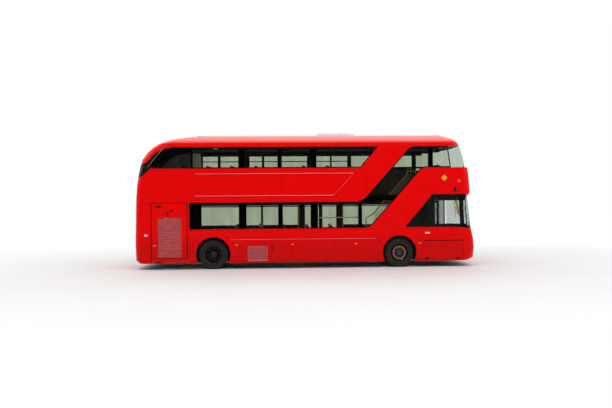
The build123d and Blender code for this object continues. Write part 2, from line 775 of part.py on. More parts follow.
REAR_HUB = [
    (rear_hub_in, rear_spindle_r + running), (24, rear_spindle_r + running), (24, 0), (52, 0), (52, 70),
    (36, 105), (twin_mid + 70, 130), (twin_mid + 12, 150), (rear_hub_in, 150),
]
REAR_BARREL = [
    (-twin_pitch - 112, rim_r), (-twin_pitch - 112, rim_r - barrel_t), (112, rim_r - barrel_t), (112, rim_r),
]


def turned(points, radii=0.0):
    plane = Plane((0, 0, 0), x_dir=(0, 1, 0), z_dir=(1, 0, 0))
    return revolve(closed_face(plane, points, radii), Axis.Y, 360)


tyre = turned(TYRE, TYRE_RADII)
front_rim = turned(BARREL) + turned(FRONT_DISC) + turned(FRONT_HUB) + turned(NUT_RING)
rear_rim = turned(REAR_BARREL) + turned(REAR_DISC) + turned(REAR_HUB)
hand_holes = 8
for i in range(hand_holes):
    around = Rot(0, (i + 0.5) * 360 / hand_holes, 0)
    front_rim = front_rim - around * rod((242, -5, 0), (242, 110, 0), 17)
    rear_rim = rear_rim - around * rod((215, twin_mid - 20, 0), (215, twin_mid + 20, 0), 28)
for label, way in (("left", 1), ("right", -1)):
    turn = 0 if way > 0 else 180
    front_at = Pos(front_axle_x, way * wheel_y, hub_z) * Rot(0, 0, turn)
    rear_at = Pos(rear_axle_x, way * wheel_y, hub_z) * Rot(0, 0, turn)
    save("front_tyre_" + label, front_at * tyre)
    save("front_rim_" + label, front_at * front_rim)
    save("rear_tyres_" + label, rear_at * tyre, rear_at * Pos(0, -twin_pitch, 0) * tyre)
    save("rear_rim_" + label, rear_at * rear_rim)


# Doors.  Each leaf is a frame with its pane, in a node of its own.
leaf_z0 = floor_z + 55.0
leaf_z1 = door_head_z - 85.0
leaf_y = half_w - leaf_t / 2 - 4.0
pane_t = 8.0


def leaf(x0, x1, z0, z1):
    body = block(x0, x1, leaf_y - leaf_t / 2, leaf_y + leaf_t / 2, z0, z1)
    hole = block(x0 + leaf_frame, x1 - leaf_frame, leaf_y - leaf_t, leaf_y + leaf_t, z0 + 90, z1 - 70)
    return body - hole


def leaf_pane(x0, x1, z0, z1):
    return block(
        x0 + leaf_frame, x1 - leaf_frame, leaf_y - pane_t / 2, leaf_y + pane_t / 2, z0 + 90, z1 - 70)


# Front door: two leaves on arms that swing them inward and turn them edge-on to the step
arm_in = 30.0
arm_t = 26.0
arm_w = 40.0
arm_gap = 7.0
pivot_r = 10.0
leaf_w = (front_door_w - 2 * edge_gap - 10.0) / 2
arm_len = edge_gap + leaf_w / 2 - arm_in
ARM_LEVELS = [
    (leaf_z1 + arm_gap, leaf_z1 + arm_gap + arm_t, 1),
    (leaf_z0 - arm_gap - arm_t, leaf_z0 - arm_gap, -1),
]
brackets = []
for label, jamb, way in (
    ("front", front_door_x + front_door_w, -1), ("rear", front_door_x, 1)
):
    x_a = jamb + way * edge_gap
    x_b = x_a + way * leaf_w
    mid = (x_a + x_b) / 2
    pivot_x = jamb + way * arm_in
    panel = leaf(*sorted((x_a, x_b)), leaf_z0, leaf_z1)
    arms = []
    for z0, z1, up in ARM_LEVELS:
        bar = block(*sorted((pivot_x, mid)), leaf_y - arm_w / 2, leaf_y + arm_w / 2, z0, z1)
        for x in (pivot_x, mid):
            bar = bar + Pos(x, leaf_y, (z0 + z1) / 2) * Cylinder(arm_w / 2, z1 - z0)
            bar = bar - Pos(x, leaf_y, (z0 + z1) / 2) * Cylinder(pivot_r + running, z1 - z0 + 2)
        arms.append(bar)
        near_z = z0 if up > 0 else z1
        far_z = z1 if up > 0 else z0
        edge_z = leaf_z1 if up > 0 else leaf_z0
        panel = panel + rod((mid, leaf_y, edge_z - up * 5), (mid, leaf_y, far_z), pivot_r)
        stop_z = door_head_z if up > 0 else skirt_z + 110
        brackets.append(rod((pivot_x, leaf_y, near_z), (pivot_x, leaf_y, stop_z), pivot_r))
    save("front_door_arms_" + label, *arms)
    save("front_door_leaf_" + label, panel)
    save("front_door_pane_" + label, leaf_pane(*sorted((x_a, x_b)), leaf_z0, leaf_z1))

# Middle doors: two plug leaves, shut
middle_leaf_w = (middle_door_w - 2 * edge_gap - 10.0) / 2
middle_leaves = []
middle_panes = []
for x0 in (middle_door_x + edge_gap, middle_door_x + middle_door_w - edge_gap - middle_leaf_w):
    middle_leaves.append(leaf(x0, x0 + middle_leaf_w, leaf_z0 - 40, leaf_z1 + 60))
    middle_panes.append(leaf_pane(x0, x0 + middle_leaf_w, leaf_z0 - 40, leaf_z1 + 60))
save("middle_doors", *middle_leaves)
save("middle_door_panes", *middle_panes)

# Rear platform door: two panels that fold inward, on pins at the forward jamb, with knuckle
# hinges between them on the outer side
fold_w = (rear_door_w - 2 * edge_gap - 10.0) / 2
fold_x = rear_door_x + rear_door_w - edge_gap
fold_pin_x = fold_x - 16.0
fold_pin_r = 8.0
fold_pin_in = 30.0
knee_x = fold_x - fold_w - 5.0
knee_y = leaf_y + leaf_t / 2 + 5.0
knuckle_r = 6.0
knuckle_h = 60.0
hinge_pin_r = 3.0
KNEE_LEVELS = [leaf_z0 + 250.0, leaf_z1 - 250.0]


def knuckle(x, y, z0, z1, way, reach, y0):
    """A hinge knuckle on the axis at (x, y) with a tongue that reaches along X to its panel."""
    tongue = block(*sorted((x, x + way * reach)), *sorted((y0, y)), z0, z1)
    return tongue + Pos(x, y, (z0 + z1) / 2) * Cylinder(knuckle_r, z1 - z0)


def hinge(x, y, z, way, reach, y0):
    """A hinge at height z: the bored middle knuckle (way) and the two that carry its pin (-way)."""
    bore = Pos(x, y, z) * Cylinder(hinge_pin_r + running, knuckle_h + 2)
    middle = knuckle(x, y, z - knuckle_h / 2, z + knuckle_h / 2, way, reach, y0) - bore
    outer_ends = Pos(x, y, z) * Cylinder(hinge_pin_r, 1.9 * knuckle_h)
    for up in (-1, 1):
        za, zb = sorted((z + up * (knuckle_h / 2 + 1), z + up * knuckle_h))
        outer_ends = outer_ends + knuckle(x, y, za, zb, -way, reach, y0)
    return middle, outer_ends


fold_panels = []
for x1 in (fold_x, fold_x - fold_w - 10.0):
    fold_panels.append(leaf(x1 - fold_w, x1, leaf_z0, leaf_z1))
for z0, z1 in ((leaf_z1 - fold_pin_in, door_head_z), (skirt_z + 110, leaf_z0 + fold_pin_in)):
    pin = rod((fold_pin_x, leaf_y, z0), (fold_pin_x, leaf_y, z1), fold_pin_r)
    brackets.append(pin)
    fold_panels[0] = fold_panels[0] - rod(
        (fold_pin_x, leaf_y, z0 - 1), (fold_pin_x, leaf_y, z1 + 1), fold_pin_r + running)
for z in KNEE_LEVELS:
    middle, outer_ends = hinge(knee_x, knee_y, z, 1, 30.0, knee_y - 6.0)
    fold_panels[0] = fold_panels[0] + middle
    fold_panels[1] = fold_panels[1] + outer_ends
for label, panel, x1 in (("a", fold_panels[0], fold_x), ("b", fold_panels[1], fold_x - fold_w - 10.0)):
    save("rear_door_panel_" + label, panel)
    save("rear_door_pane_" + label, leaf_pane(x1 - fold_w, x1, leaf_z0, leaf_z1))
save("door_pivots", *brackets)

# Engine side door, hinged on its forward edge, with a louvred grille
door_t = 40.0
engine_hinge_x = engine_door_x1 + door_gap / 2
engine_hinge_y = -half_w - 5.0
ENGINE_HINGES = [engine_door_z0 + 300.0, (engine_door_z0 + engine_door_z1) / 2, engine_door_z1 - 300.0]
engine_door = block(
    engine_door_x0, engine_door_x1, -half_w, -half_w + door_t, engine_door_z0, engine_door_z1)
grille_x0 = engine_door_x0 + 208.0
grille_x1 = engine_door_x1 - 172.0
grille_z0 = skirt_z + 197.0
grille_z1 = head_z - 493.0
engine_door = engine_door - block(grille_x0, grille_x1, -wide, -near, grille_z0, grille_z1)
for slat in louvre(grille_x0, grille_x1, grille_z0, grille_z1):
    engine_door = engine_door + slat
for z in ENGINE_HINGES:
    middle, outer_ends = hinge(engine_hinge_x, engine_hinge_y, z, -1, 30.0, -half_w + 2.0)
    engine_door = engine_door + middle
    side_right = side_right + outer_ends
save("engine_door", engine_door)
save("side_wall_right", side_right)

# Seats: each double seat is a cushion on a pedestal and a back
seat_w = 880.0
seat_h = 430.0
cushion_t = 90.0
cushion_l = 420.0
back_h = 660.0
back_t = 75.0


def double_seat(x, y0, level):
    """A double seat that faces forward: a cushion on a raked pedestal, and a back that leans from x."""
    top = level + seat_h
    base = top - cushion_t
    pedestal = side_prism(
        [(x + 160, level), (x + 330, level), (x + 300, base), (x + 90, base)], y0 + 190, y0 + seat_w - 190)
    cushion = block(x + 40, x + 40 + cushion_l, y0, y0 + seat_w, base, top)
    cushion = fillet(cushion.edges().filter_by(Axis.Y).sort_by(lambda e: e.center().X + e.center().Z)[-1], 40)
    back = side_prism(
        [(x + 40, top - 40), (x + 40 - back_t, top - 40), (x - back_t - 40, top - 40 + back_h),
         (x - 40, top - 40 + back_h)], y0, y0 + seat_w)
    back = fillet(back.edges().filter_by(Axis.Y).group_by(Axis.Z)[-1], 28)
    return pedestal + cushion, back - cushion


seat_pitch = 780.0
right_y = -inner_w + 15.0
left_y = inner_w - 15.0 - seat_w
UPPER_ROWS = [
    # y, first back, forward limit
    (right_y, tail_x + 1715.0, front_stair_x + 100.0),
    (left_y, tail_x + 915.0, nose_x - 850.0),
]
LOWER_ROWS = [
    (right_y, rear_axle_x + arch_r + 230.0, front_stair_x - 250.0),
    (left_y, rear_axle_x + arch_r + 230.0, middle_door_x - 200.0),
]
seat_room = back_t + 40.0


def seat_row(y0, x_first, limit, level):
    row = []
    count = int((limit - seat_room - x_first) // seat_pitch) + 1
    for i in range(count):
        row += list(double_seat(x_first + i * seat_pitch, y0, level))
    return row


upper_seats = []
for y0, x_first, limit in UPPER_ROWS:
    upper_seats += seat_row(y0, x_first, limit - cushion_l, deck_z)
upper_seats += list(double_seat(front_axle_x + 1420, right_y, deck_z))
lower_seats = []
for y0, x_first, limit in LOWER_ROWS:
    lower_seats += seat_row(y0, x_first, limit - cushion_l, floor_z)
save("upper_seats", *upper_seats)
save("lower_seats", *lower_seats)

# Driver's place: plinth, seat, console and steering wheel
cab_y = -620.0
cab_x = front_axle_x + 1180.0
cab_seat = block(cab_x - 60, cab_x + 320, cab_y - 160, cab_y + 160, floor_z, floor_z + 330)
cab_seat = cab_seat + block(cab_x - 80, cab_x + 400, cab_y - 250, cab_y + 250, floor_z + 330, floor_z + 440)
cab_seat = cab_seat + side_prism(
    [(cab_x - 80, floor_z + 400), (cab_x + 10, floor_z + 400), (cab_x - 110, floor_z + 1230),
     (cab_x - 190, floor_z + 1230)], cab_y - 240, cab_y + 240)
save("driver_seat", cab_seat)
dash = [
    (nose_x - 560, floor_z), (nose_x - 640, floor_z + 560), (nose_x - 800, floor_z + 620),
    (nose_x - 760, floor_z + 720), (nose_x - 560, floor_z + 860), (nose_x - 300, floor_z + 890),
    (nose_x - 300, floor_z),
]
console_end = leaf_y - arm_len - leaf_w / 2 - 60.0
console = side_prism(dash, -inner_w + 60, console_end) & cabin
cab_screen_x = cab_x - 250.0
cab_screen = block(cab_screen_x, cab_screen_x + screen_t, -inner_w, cab_y + 290, floor_z, lower_ceiling)
save("cab_console", console, cab_screen)
wheel_at = (nose_x - 840.0, cab_y, floor_z + 790.0)
tilt = 58.0
steering = Torus(225, 15) + Cylinder(45, 40)
for angle in (90, 210, 330):
    steering = steering + Rot(0, 0, angle) * Pos(120, 0, 0) * Box(210, 24, 12)
steering = steering + Pos(0, 0, -160) * Cylinder(28, 300)
save("steering_wheel", Pos(*wheel_at) * Rot(0, -(90 - tilt), 0) * steering - console)

# Handrails of the lower saloon, upper deck and stairs
rail_r = 17.0
aisle_y = -290.0
door_y = 500.0
POLES = [
    # x, y
    (rear_axle_x + 1530, aisle_y),
    (middle_door_x - 190, aisle_y),
    (middle_door_x - 190, door_y),
    (middle_door_x + middle_door_w + 90, door_y),
    (middle_door_x + middle_door_w + 10, aisle_y),
    (front_door_x - 190, door_y - 70),
    (rear_door_x + rear_door_w + 100, door_y + 200),
]


def bent_rail(points):
    """A round rail through points, with a rounded joint at each bend."""
    whole = rod(points[0], points[1], rail_r)
    for a, b in zip(points[1:], points[2:]):
        whole = whole + Pos(*a) * Sphere(rail_r) + rod(a, b, rail_r)
    return whole


def over_stairs(x, y, rise):
    """A point above the nosings of the front stairs."""
    return (x, y, floor_z + (x - front_stair_x) / slant + rise)


rails = [rod((x, y, floor_z), (x, y, lower_ceiling), rail_r) for x, y in POLES]
# The stair rail starts on the first step, follows the flight and ends on the deck ahead of the well
stair_y = -inner_w + tread_w - 30.0
foot_x = front_stair_x + 100.0
top_x = front_stair_x + 0.87 * front_run
end_x = front_stair_x + front_run + 65.0
rails.append(bent_rail([
    (foot_x, stair_y, floor_z + (deck_z - floor_z) / steps),
    over_stairs(foot_x, stair_y, 1110),
    over_stairs(foot_x + 225, stair_y, 990),
    over_stairs(top_x, stair_y, 1010),
    (top_x, stair_y, deck_z + 850),
    (end_x, stair_y, deck_z + 850),
    (end_x, stair_y, deck_z),
]))
# A rail along the lower windows, carried by two of their posts
bay_y0 = -inner_w + 85.0
bay_z = sill_z + 342.0
rails.append(bent_rail([
    (POST_LOWER[3][0], -inner_w, bay_z),
    (POST_LOWER[3][0], bay_y0, bay_z),
    (POST_LOWER[4][0], bay_y0, bay_z),
    (POST_LOWER[4][0], -inner_w, bay_z),
]))
save("handrails", *rails)

# White crowned roof skin and its pod
roof_half = half_w - roof_side
crown_r = (roof_half ** 2 + crown ** 2) / (2 * crown)
roof_x0 = tail_x + 2050.0
roof_x1 = nose_x - 1180.0
cap = Pos((roof_x0 + roof_x1) / 2, 0, roof_z + crown - crown_r) * Rot(0, 90, 0) * Cylinder(
    crown_r, roof_x1 - roof_x0)
roof_panel = cap & block(roof_x0, roof_x1, -roof_half, roof_half, roof_z, roof_z + 2 * crown)
pod_x = front_axle_x - 1995.0
pod = block(pod_x - 655, pod_x + 655, -400, 400, roof_z + crown - 12, roof_z + crown + 95)
pod = fillet(pod.edges().filter_by(Axis.Z), 120)
pod = chamfer(pod.faces().sort_by(Axis.Z)[-1].edges(), 50)
save("roof_panel", roof_panel)
save("roof_pod", pod - roof_panel)
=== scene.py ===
import json
import math

import bmesh
import bpy
from mathutils import Matrix, Vector
from mathutils.bvhtree import BVHTree


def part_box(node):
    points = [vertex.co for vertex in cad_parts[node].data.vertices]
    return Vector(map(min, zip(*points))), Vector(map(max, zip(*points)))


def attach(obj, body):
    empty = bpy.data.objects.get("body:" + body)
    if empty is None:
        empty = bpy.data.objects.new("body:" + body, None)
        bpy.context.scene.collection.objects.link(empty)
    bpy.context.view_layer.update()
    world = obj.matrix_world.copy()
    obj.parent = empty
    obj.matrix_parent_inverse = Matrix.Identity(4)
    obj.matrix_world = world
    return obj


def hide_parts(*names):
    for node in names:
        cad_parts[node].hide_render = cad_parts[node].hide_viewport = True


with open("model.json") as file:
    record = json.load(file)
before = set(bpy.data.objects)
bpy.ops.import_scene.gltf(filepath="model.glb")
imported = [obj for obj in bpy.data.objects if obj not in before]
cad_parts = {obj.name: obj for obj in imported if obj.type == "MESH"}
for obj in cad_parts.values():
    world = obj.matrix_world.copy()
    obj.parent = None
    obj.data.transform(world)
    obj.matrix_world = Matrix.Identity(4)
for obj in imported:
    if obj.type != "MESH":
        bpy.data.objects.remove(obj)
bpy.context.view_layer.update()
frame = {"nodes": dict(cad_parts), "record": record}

scene = bpy.context.scene
scene.view_settings.view_transform = "Standard"
NODE = frame["nodes"]

# Places that the CAD nodes give
front_hub = (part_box("front_tyre_right")[0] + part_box("front_tyre_right")[1]) / 2
rear_hub = (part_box("rear_tyres_right")[0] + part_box("rear_tyres_right")[1]) / 2
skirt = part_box("side_wall_right")[0].z
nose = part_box("front_cowl")[1].x
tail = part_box("rear_wall")[0].x
front_x, rear_x = front_hub.x, rear_hub.x

# Measures of the source that no node's box gives, in metres
side = 1.26                              # the flat of the side walls, from the middle of the bus
ARCH_R, ARCH_Z = 0.550, 0.490            # wheel arch: radius, and height of its centre
SILL, HEAD = 1.288, 2.145                # lower windows
UPPER_SILL, UPPER_HEAD = 3.240, 3.932    # upper windows
LOW_FOLD = 0.949                         # crease along the skirt panels
SLANT = 0.893                            # run over rise of the slanted glass and both flights
FLOOR_Z, DECK_RISE, STEPS = 0.36, 1.94, 9
PANE_BACK = -0.0112                      # inner face of a pane, from the skin
SHARP_EDGE = math.radians(34)            # from this angle on, an edge isn't shaded smooth


# Materials
class Nodes:
    """Short forms for making the nodes of one material or world."""

    def __init__(self, owner):
        owner.use_nodes = True
        self.owner = owner
        self.nodes, self.links = owner.node_tree.nodes, owner.node_tree.links
        self.shader = self.nodes.get("Principled BSDF")

    def feed(self, node, inputs):
        """Sets an input that is given as a number or tuple, and links any other."""
        for key, value in inputs.items():
            if isinstance(value, (int, float, tuple)):
                node.inputs[key].default_value = value
            else:
                self.links.new(value, node.inputs[key])
        return node

    def add(self, kind, inputs=None, **settings):
        node = self.nodes.new("ShaderNode" + kind)
        for key, value in settings.items():
            setattr(node, key, value)
        return self.feed(node, inputs or {})

    def place(self, kind="Object"):
        """X, Y and Z of a texture coordinate."""
        return self.add("SeparateXYZ", {"Vector": self.coords(kind)}).outputs

    def coords(self, kind="Object"):
        return self.add("TexCoord").outputs[kind]

    def noise(self, scale, detail, stretch=(1, 1, 1)):
        mapped = self.add("Mapping", {"Vector": self.coords(), "Scale": stretch}).outputs["Vector"]
        return self.add("TexNoise", {"Vector": mapped, "Scale": scale, "Detail": detail}).outputs["Fac"]

    def spread(self, value, low, high, start=0.35, end=0.65):
        """Maps start..end to low..high, and holds it there beyond."""
        return self.add("MapRange", {"Value": value, "From Min": start, "From Max": end,
                                     "To Min": low, "To Max": high}).outputs["Result"]

    def blend(self, factor, a, b):
        a, b = ((*c, 1.0) if isinstance(c, tuple) else c for c in (a, b))
        return self.add("Mix", {0: factor, 6: a, 7: b}, data_type="RGBA").outputs[2]

    def math(self, operation, *values):
        return self.add("Math", dict(enumerate(values)), operation=operation).outputs[0]

    def times(self, a, b):
        return self.math("MULTIPLY", a, b)

    def above(self, a, b):
        return self.math("GREATER_THAN", a, b)

    def most(self, a, b):
        return self.math("MAXIMUM", a, b)

    def bump(self, height, strength, distance):
        normal = self.add("Bump", {"Height": height, "Strength": strength, "Distance": distance})
        self.feed(self.shader, {"Normal": normal.outputs["Normal"]})


def nodes_of(name):
    return Nodes(bpy.data.materials.new(name))


def finish_of(name, light, dark, rough, metal=0.0, scale=3.0, grain=220.0, bump=0.12, coat=0.0,
              level=0.5, stretch=(1, 1, 1)):
    """A solid finish: cloudy colour between two tones, uneven gloss and a fine grain."""
    g = nodes_of(name)
    cloud, fine = g.noise(scale, 5.0, stretch), g.noise(grain, 3.0, stretch)
    g.bump(fine, bump, 0.001)
    g.feed(g.shader, {
        "Base Color": g.blend(g.spread(cloud, 0, 1), light, dark),
        "Roughness": g.spread(fine, rough * 0.8, min(1.0, rough * 1.2)),
        "Metallic": metal, "Coat Weight": coat, "Coat Roughness": 0.06, "Specular IOR Level": level})
    return g.owner


def arch_highlight(g, place):
    """Painted highlight: 1 on the raised surround of a wheel arch, fading out beyond it and towards its
    feet.
    """
    rise = g.math("SUBTRACT", place["Z"], ARCH_Z)
    near = []
    for hub_x in (front_x, rear_x):
        run = g.math("SUBTRACT", place["X"], hub_x)
        reach = g.math("SQRT", g.math("ADD", g.times(run, run), g.times(rise, rise)))
        near.append(g.spread(reach, 1.0, 0.0, ARCH_R + 0.09, ARCH_R + 0.17))
    return g.times(g.most(*near), g.spread(place["Z"], 0.0, 1.0, 0.40, 0.85))


def outside_mask(g, place, facing):
    """1 on faces that look out of the body, 0 on its inside and on the cut edges of openings."""
    sides = g.times(facing["Y"], g.math("SIGN", place["Y"]))
    ends = g.times(facing["X"], g.math("SIGN", place["X"]))
    far_end = g.above(g.math("ABSOLUTE", place["X"]), 4.93)
    top = g.times(g.above(facing["Z"], 0.1), g.above(place["Z"], 3.962))
    return g.most(g.most(g.above(sides, 0.25), g.times(g.above(ends, 0.15), far_end)), top)


def paint(name, upper, lower, skirt_shade_colour, lining, painted_sheen):
    """Coach paint: faint panel waves; painted shade that darkens the lower side, and in patches the foot of
    the skirts; painted highlights at the nose and round the wheel arches; a painted pale sheen on the
    shoulder under the roof; and near-black on the faces that look inwards and on cut edges, which is
    black trim round the openings and painted shade elsewhere."""
    g = nodes_of(name)
    place, facing = g.place(), g.place("Normal")
    cloud = g.spread(g.noise(1.3, 6.0), 0.0, 1.0)
    lit_upper = g.blend(cloud, upper, tuple(c * 0.94 for c in upper))
    # Painted light and shade: the upper red shows above the skirt and, as painted highlights, at the nose
    # and round the wheel arches; the darker lower red below them is painted shade
    height = g.spread(place["Z"], 0.0, 1.0, 0.75, 1.15)
    nose_highlight = g.spread(place["X"], 0.0, 0.7, 5.02, 5.20)
    lit = g.most(height, g.most(nose_highlight, arch_highlight(g, place)))
    # Painted sheen: a pale pink reflection on the shoulder under the roof, where the skin turns upwards
    shoulder = g.times(g.spread(facing["Z"], 0.0, 1.0, 0.16, 0.34),
                       g.spread(place["Z"], 0.0, 1.0, 4.05, 4.17))
    body = g.blend(g.times(shoulder, 0.85), g.blend(lit, lower, lit_upper), painted_sheen)
    # Painted shade: the red darkens in patches towards the foot of the skirts
    skirt_shade = g.times(g.spread(place["Z"], 0.0, 1.0, 0.95, 0.2),
                     g.spread(g.noise(5.0, 8.0, (1, 1, 0.4)), 0.0, 0.55, 0.45, 0.8))
    with_skirt_shade = g.blend(skirt_shade, body, skirt_shade_colour)
    g.bump(g.noise(90.0, 2.0), 0.05, 0.0008)
    g.feed(g.shader, {
        # Inward faces and cut edges take the near-black: black trim round the openings, and painted shade
        # inside the body and on the top and bottom faces of the mouldings
        "Base Color": g.blend(outside_mask(g, place, facing), lining, with_skirt_shade),
        "Roughness": g.spread(cloud, 0.16, 0.24, 0.0, 1.0), "Specular IOR Level": 0.07,
        "Coat Weight": 0.08, "Coat IOR": 1.3, "Coat Roughness": 0.05})
    return g.owner


def glazing(name, clear, deep, cab=None):
    """Tinted safety glass that light passes through, with a faint haze of dust and rain streaks.
    The driver's window beside the cab may have its own tint."""
    g = nodes_of(name)
    streak = g.noise(2.5, 5.0, (1, 1, 0.25))
    tint = g.blend(g.spread(streak, 0, 1), clear, deep)
    if cab:
        place = g.place()
        beside = g.times(g.above(place["X"], 3.9), g.spread(place["Z"], 0.0, 1.0, 2.42, 2.40))
        tint = g.blend(beside, tint, cab)
    g.feed(g.shader, {"Base Color": tint, "Roughness": g.spread(streak, 0.0, 0.02),
                      "Transmission Weight": 1.0, "IOR": 1.14})
    return g.owner


def moquette(name, base, fleck, stripe):
    """Woven seat plush: a fine diagonal weave, flecks and a soft nap."""
    g = nodes_of(name)
    wave = g.add("TexWave", {"Vector": g.coords(), "Scale": 24.0, "Distortion": 1.2},
                 bands_direction="DIAGONAL")
    speck = g.add("TexVoronoi", {"Vector": g.coords(), "Scale": 60.0})
    woven = g.blend(g.spread(wave.outputs["Fac"], 0, 1, 0.3, 0.7), base, stripe)
    g.bump(g.noise(900.0, 2.0), 0.35, 0.0012)
    g.feed(g.shader, {
        "Base Color": g.blend(g.spread(speck.outputs["Distance"], 1, 0, 0.1, 0.3), woven, fleck),
        "Roughness": 0.9, "Sheen Weight": 0.35, "Sheen Roughness": 0.5})
    return g.owner


def lens(name, colour, glow):
    """Ribbed lamp glass that glows faintly."""
    g = nodes_of(name)
    rib = g.add("TexWave", {"Vector": g.coords(), "Scale": 15.0}).outputs["Fac"]
    g.bump(rib, 0.4, 0.001)
    g.feed(g.shader, {
        "Base Color": g.blend(rib, colour, tuple(c * 0.7 for c in colour)), "Roughness": 0.12,
        "Coat Weight": 0.6, "Emission Color": (*colour, 1.0), "Emission Strength": glow})
    return g.owner


FINISH = {
    # Upper red; darker lower red as painted shade; deep red as painted shade low on the skirts; near-black
    # for inward faces and cut edges; pale pink as the painted sheen on the roof shoulder
    "red": paint("coach_red", (0.90, 0.0004, 0.0008), (0.68, 0.0004, 0.0006), (0.36, 0.006, 0.005),
                 (0.050, 0.048, 0.046), (1.0, 0.34, 0.31)),
    "white": finish_of("roof_white", (0.86, 0.84, 0.80), (0.74, 0.71, 0.66), 0.38, scale=1.2, bump=0.06),
    "tinted": glazing("side_glass", (0.58, 0.63, 0.53), (0.50, 0.55, 0.46), (0.66, 0.70, 0.68)),
    "cab_tint": glazing("cab_screen_glass", (0.34, 0.38, 0.37), (0.28, 0.32, 0.31)),
    "privacy": glazing("rear_glass", (0.13, 0.135, 0.12), (0.08, 0.085, 0.075)),
    "clear": glazing("screen_glass", (0.70, 0.76, 0.72), (0.62, 0.68, 0.64)),
    "vinyl": finish_of("floor_vinyl", (0.085, 0.080, 0.078), (0.05, 0.048, 0.05), 0.55, scale=30.0,
                       grain=300.0),
    "stair": finish_of("stair_vinyl", (0.045, 0.022, 0.022), (0.028, 0.014, 0.013), 0.55, level=0.3,
                       scale=20.0, grain=300.0),
    "lining": finish_of("lining_panel", (0.42, 0.40, 0.36), (0.34, 0.32, 0.29), 0.55, scale=2.0,
                        grain=160.0),
    "iron": finish_of("engine_iron", (0.10, 0.10, 0.10), (0.05, 0.045, 0.04), 0.6, 0.4, scale=9.0,
                      grain=80.0, bump=0.4),
    "under": finish_of("underframe_paint", (0.035, 0.034, 0.033), (0.07, 0.055, 0.042), 0.7, scale=6.0,
                       bump=0.4),
    "black": finish_of("black_trim", (0.005, 0.0045, 0.005), (0.003, 0.0025, 0.003), 0.35, level=0.15,
                       scale=8.0, bump=0.08),
    "rubber": finish_of("seal_rubber", (0.016, 0.016, 0.016), (0.008, 0.008, 0.008), 0.75, scale=20.0,
                        bump=0.3),
    "steel": finish_of("bright_steel", (0.62, 0.61, 0.59), (0.45, 0.44, 0.42), 0.26, 0.9, scale=12.0,
                       grain=400.0),
    "moquette": moquette("seat_moquette", (0.055, 0.012, 0.014), (0.20, 0.11, 0.03), (0.03, 0.010, 0.014)),
    "plastic": finish_of("cab_plastic", (0.03, 0.031, 0.034), (0.018, 0.019, 0.021), 0.6, scale=5.0,
                         grain=500.0, bump=0.4),
    "rail": finish_of("rail_paint", (0.90, 0.60, 0.13), (0.74, 0.46, 0.09), 0.35, scale=10.0, bump=0.08),
    "lamp_clear": lens("lamp_clear", (0.86, 0.88, 0.90), 0.15),
    "lamp_red": lens("lamp_red", (0.55, 0.005, 0.006), 0.10),
    "lamp_amber": lens("lamp_amber", (0.85, 0.25, 0.01), 0.12),
    "lamp_pale": lens("lamp_pale", (0.9, 0.72, 0.35), 0.35),
    "tyre": finish_of("tyre_rubber", (0.019, 0.015, 0.0155), (0.032, 0.025, 0.026), 0.85, level=0.15,
                      scale=14.0, grain=160.0, bump=0.3),
    "rim": finish_of("rim_paint", (0.012, 0.010, 0.010), (0.026, 0.020, 0.018), 0.5, 0.1, level=0.3,
                     scale=16.0, bump=0.2),
    "bronze": finish_of("nut_bronze", (0.30, 0.185, 0.075), (0.17, 0.10, 0.045), 0.5, 0.35, scale=30.0,
                        bump=0.25),
    "grille": finish_of("grille_paint", (0.74, 0.13, 0.14), (0.60, 0.09, 0.10), 0.45, scale=6.0,
                        stretch=(1, 1, 4)),
    "bay": finish_of("bay_dark", (0.010, 0.008, 0.009), (0.005, 0.004, 0.005), 0.8, level=0.1, scale=8.0),
    "seam": finish_of("seam_dark", (0.034, 0.001, 0.001), (0.020, 0.001, 0.001), 0.7, level=0.1, scale=6.0),
    "plate_white": finish_of("plate_white", (0.75, 0.74, 0.70), (0.66, 0.65, 0.60), 0.4, scale=12.0),
    "plate_yellow": finish_of("plate_yellow", (1.0, 0.54, 0.006), (0.92, 0.46, 0.005), 0.4, scale=12.0),
    "hub": finish_of("hub_cap", (0.045, 0.045, 0.048), (0.028, 0.027, 0.028), 0.4, 0.3, scale=20.0),
    "baluster": finish_of("baluster_grey", (0.50, 0.50, 0.48), (0.40, 0.40, 0.38), 0.4, scale=20.0),
    "grey": finish_of("camera_grey", (0.22, 0.22, 0.21), (0.15, 0.15, 0.15), 0.4, scale=20.0),
    "step_edge": finish_of("step_edge", (0.80, 0.60, 0.04), (0.66, 0.48, 0.03), 0.55, scale=25.0),
    "green": lens("exit_green", (0.02, 0.45, 0.18), 0.5),
    # Pale pink strips as painted highlights on the light-catching tops of the mouldings and along the skirt
    # crease
    "painted_highlight": finish_of("moulding_painted_highlight", (0.82, 0.30, 0.28), (0.74, 0.22, 0.21), 0.35, scale=5.0),
    "screen": finish_of("display_black", (0.006, 0.006, 0.007), (0.012, 0.012, 0.013), 0.08, scale=6.0,
                        coat=0.7),
    "bracket": finish_of("seat_bracket", (0.11, 0.11, 0.115), (0.07, 0.07, 0.075), 0.4, 0.5, scale=14.0),
    "handle": finish_of("yellow_handle", (1.0, 0.62, 0.006), (0.94, 0.55, 0.006), 0.4, scale=14.0),
}
SLOT_FINISH = {
    "red_paint": "red", "white_paint": "white", "tinted_glass": "tinted", "clear_glass": "clear",
    "floor_vinyl": "vinyl", "stair_vinyl": "stair", "lining": "lining", "engine_iron": "iron",
    "underframe_paint": "under", "black_trim": "black", "bright_steel": "steel", "seat_moquette": "moquette",
    "cab_plastic": "plastic", "rail_paint": "rail", "lamp_clear": "lamp_clear", "lamp_red": "lamp_red",
    "tyre_rubber": "tyre", "rim_paint": "rim",
}
FINISH_SLOT = {finish: slot for slot, finish in SLOT_FINISH.items()}
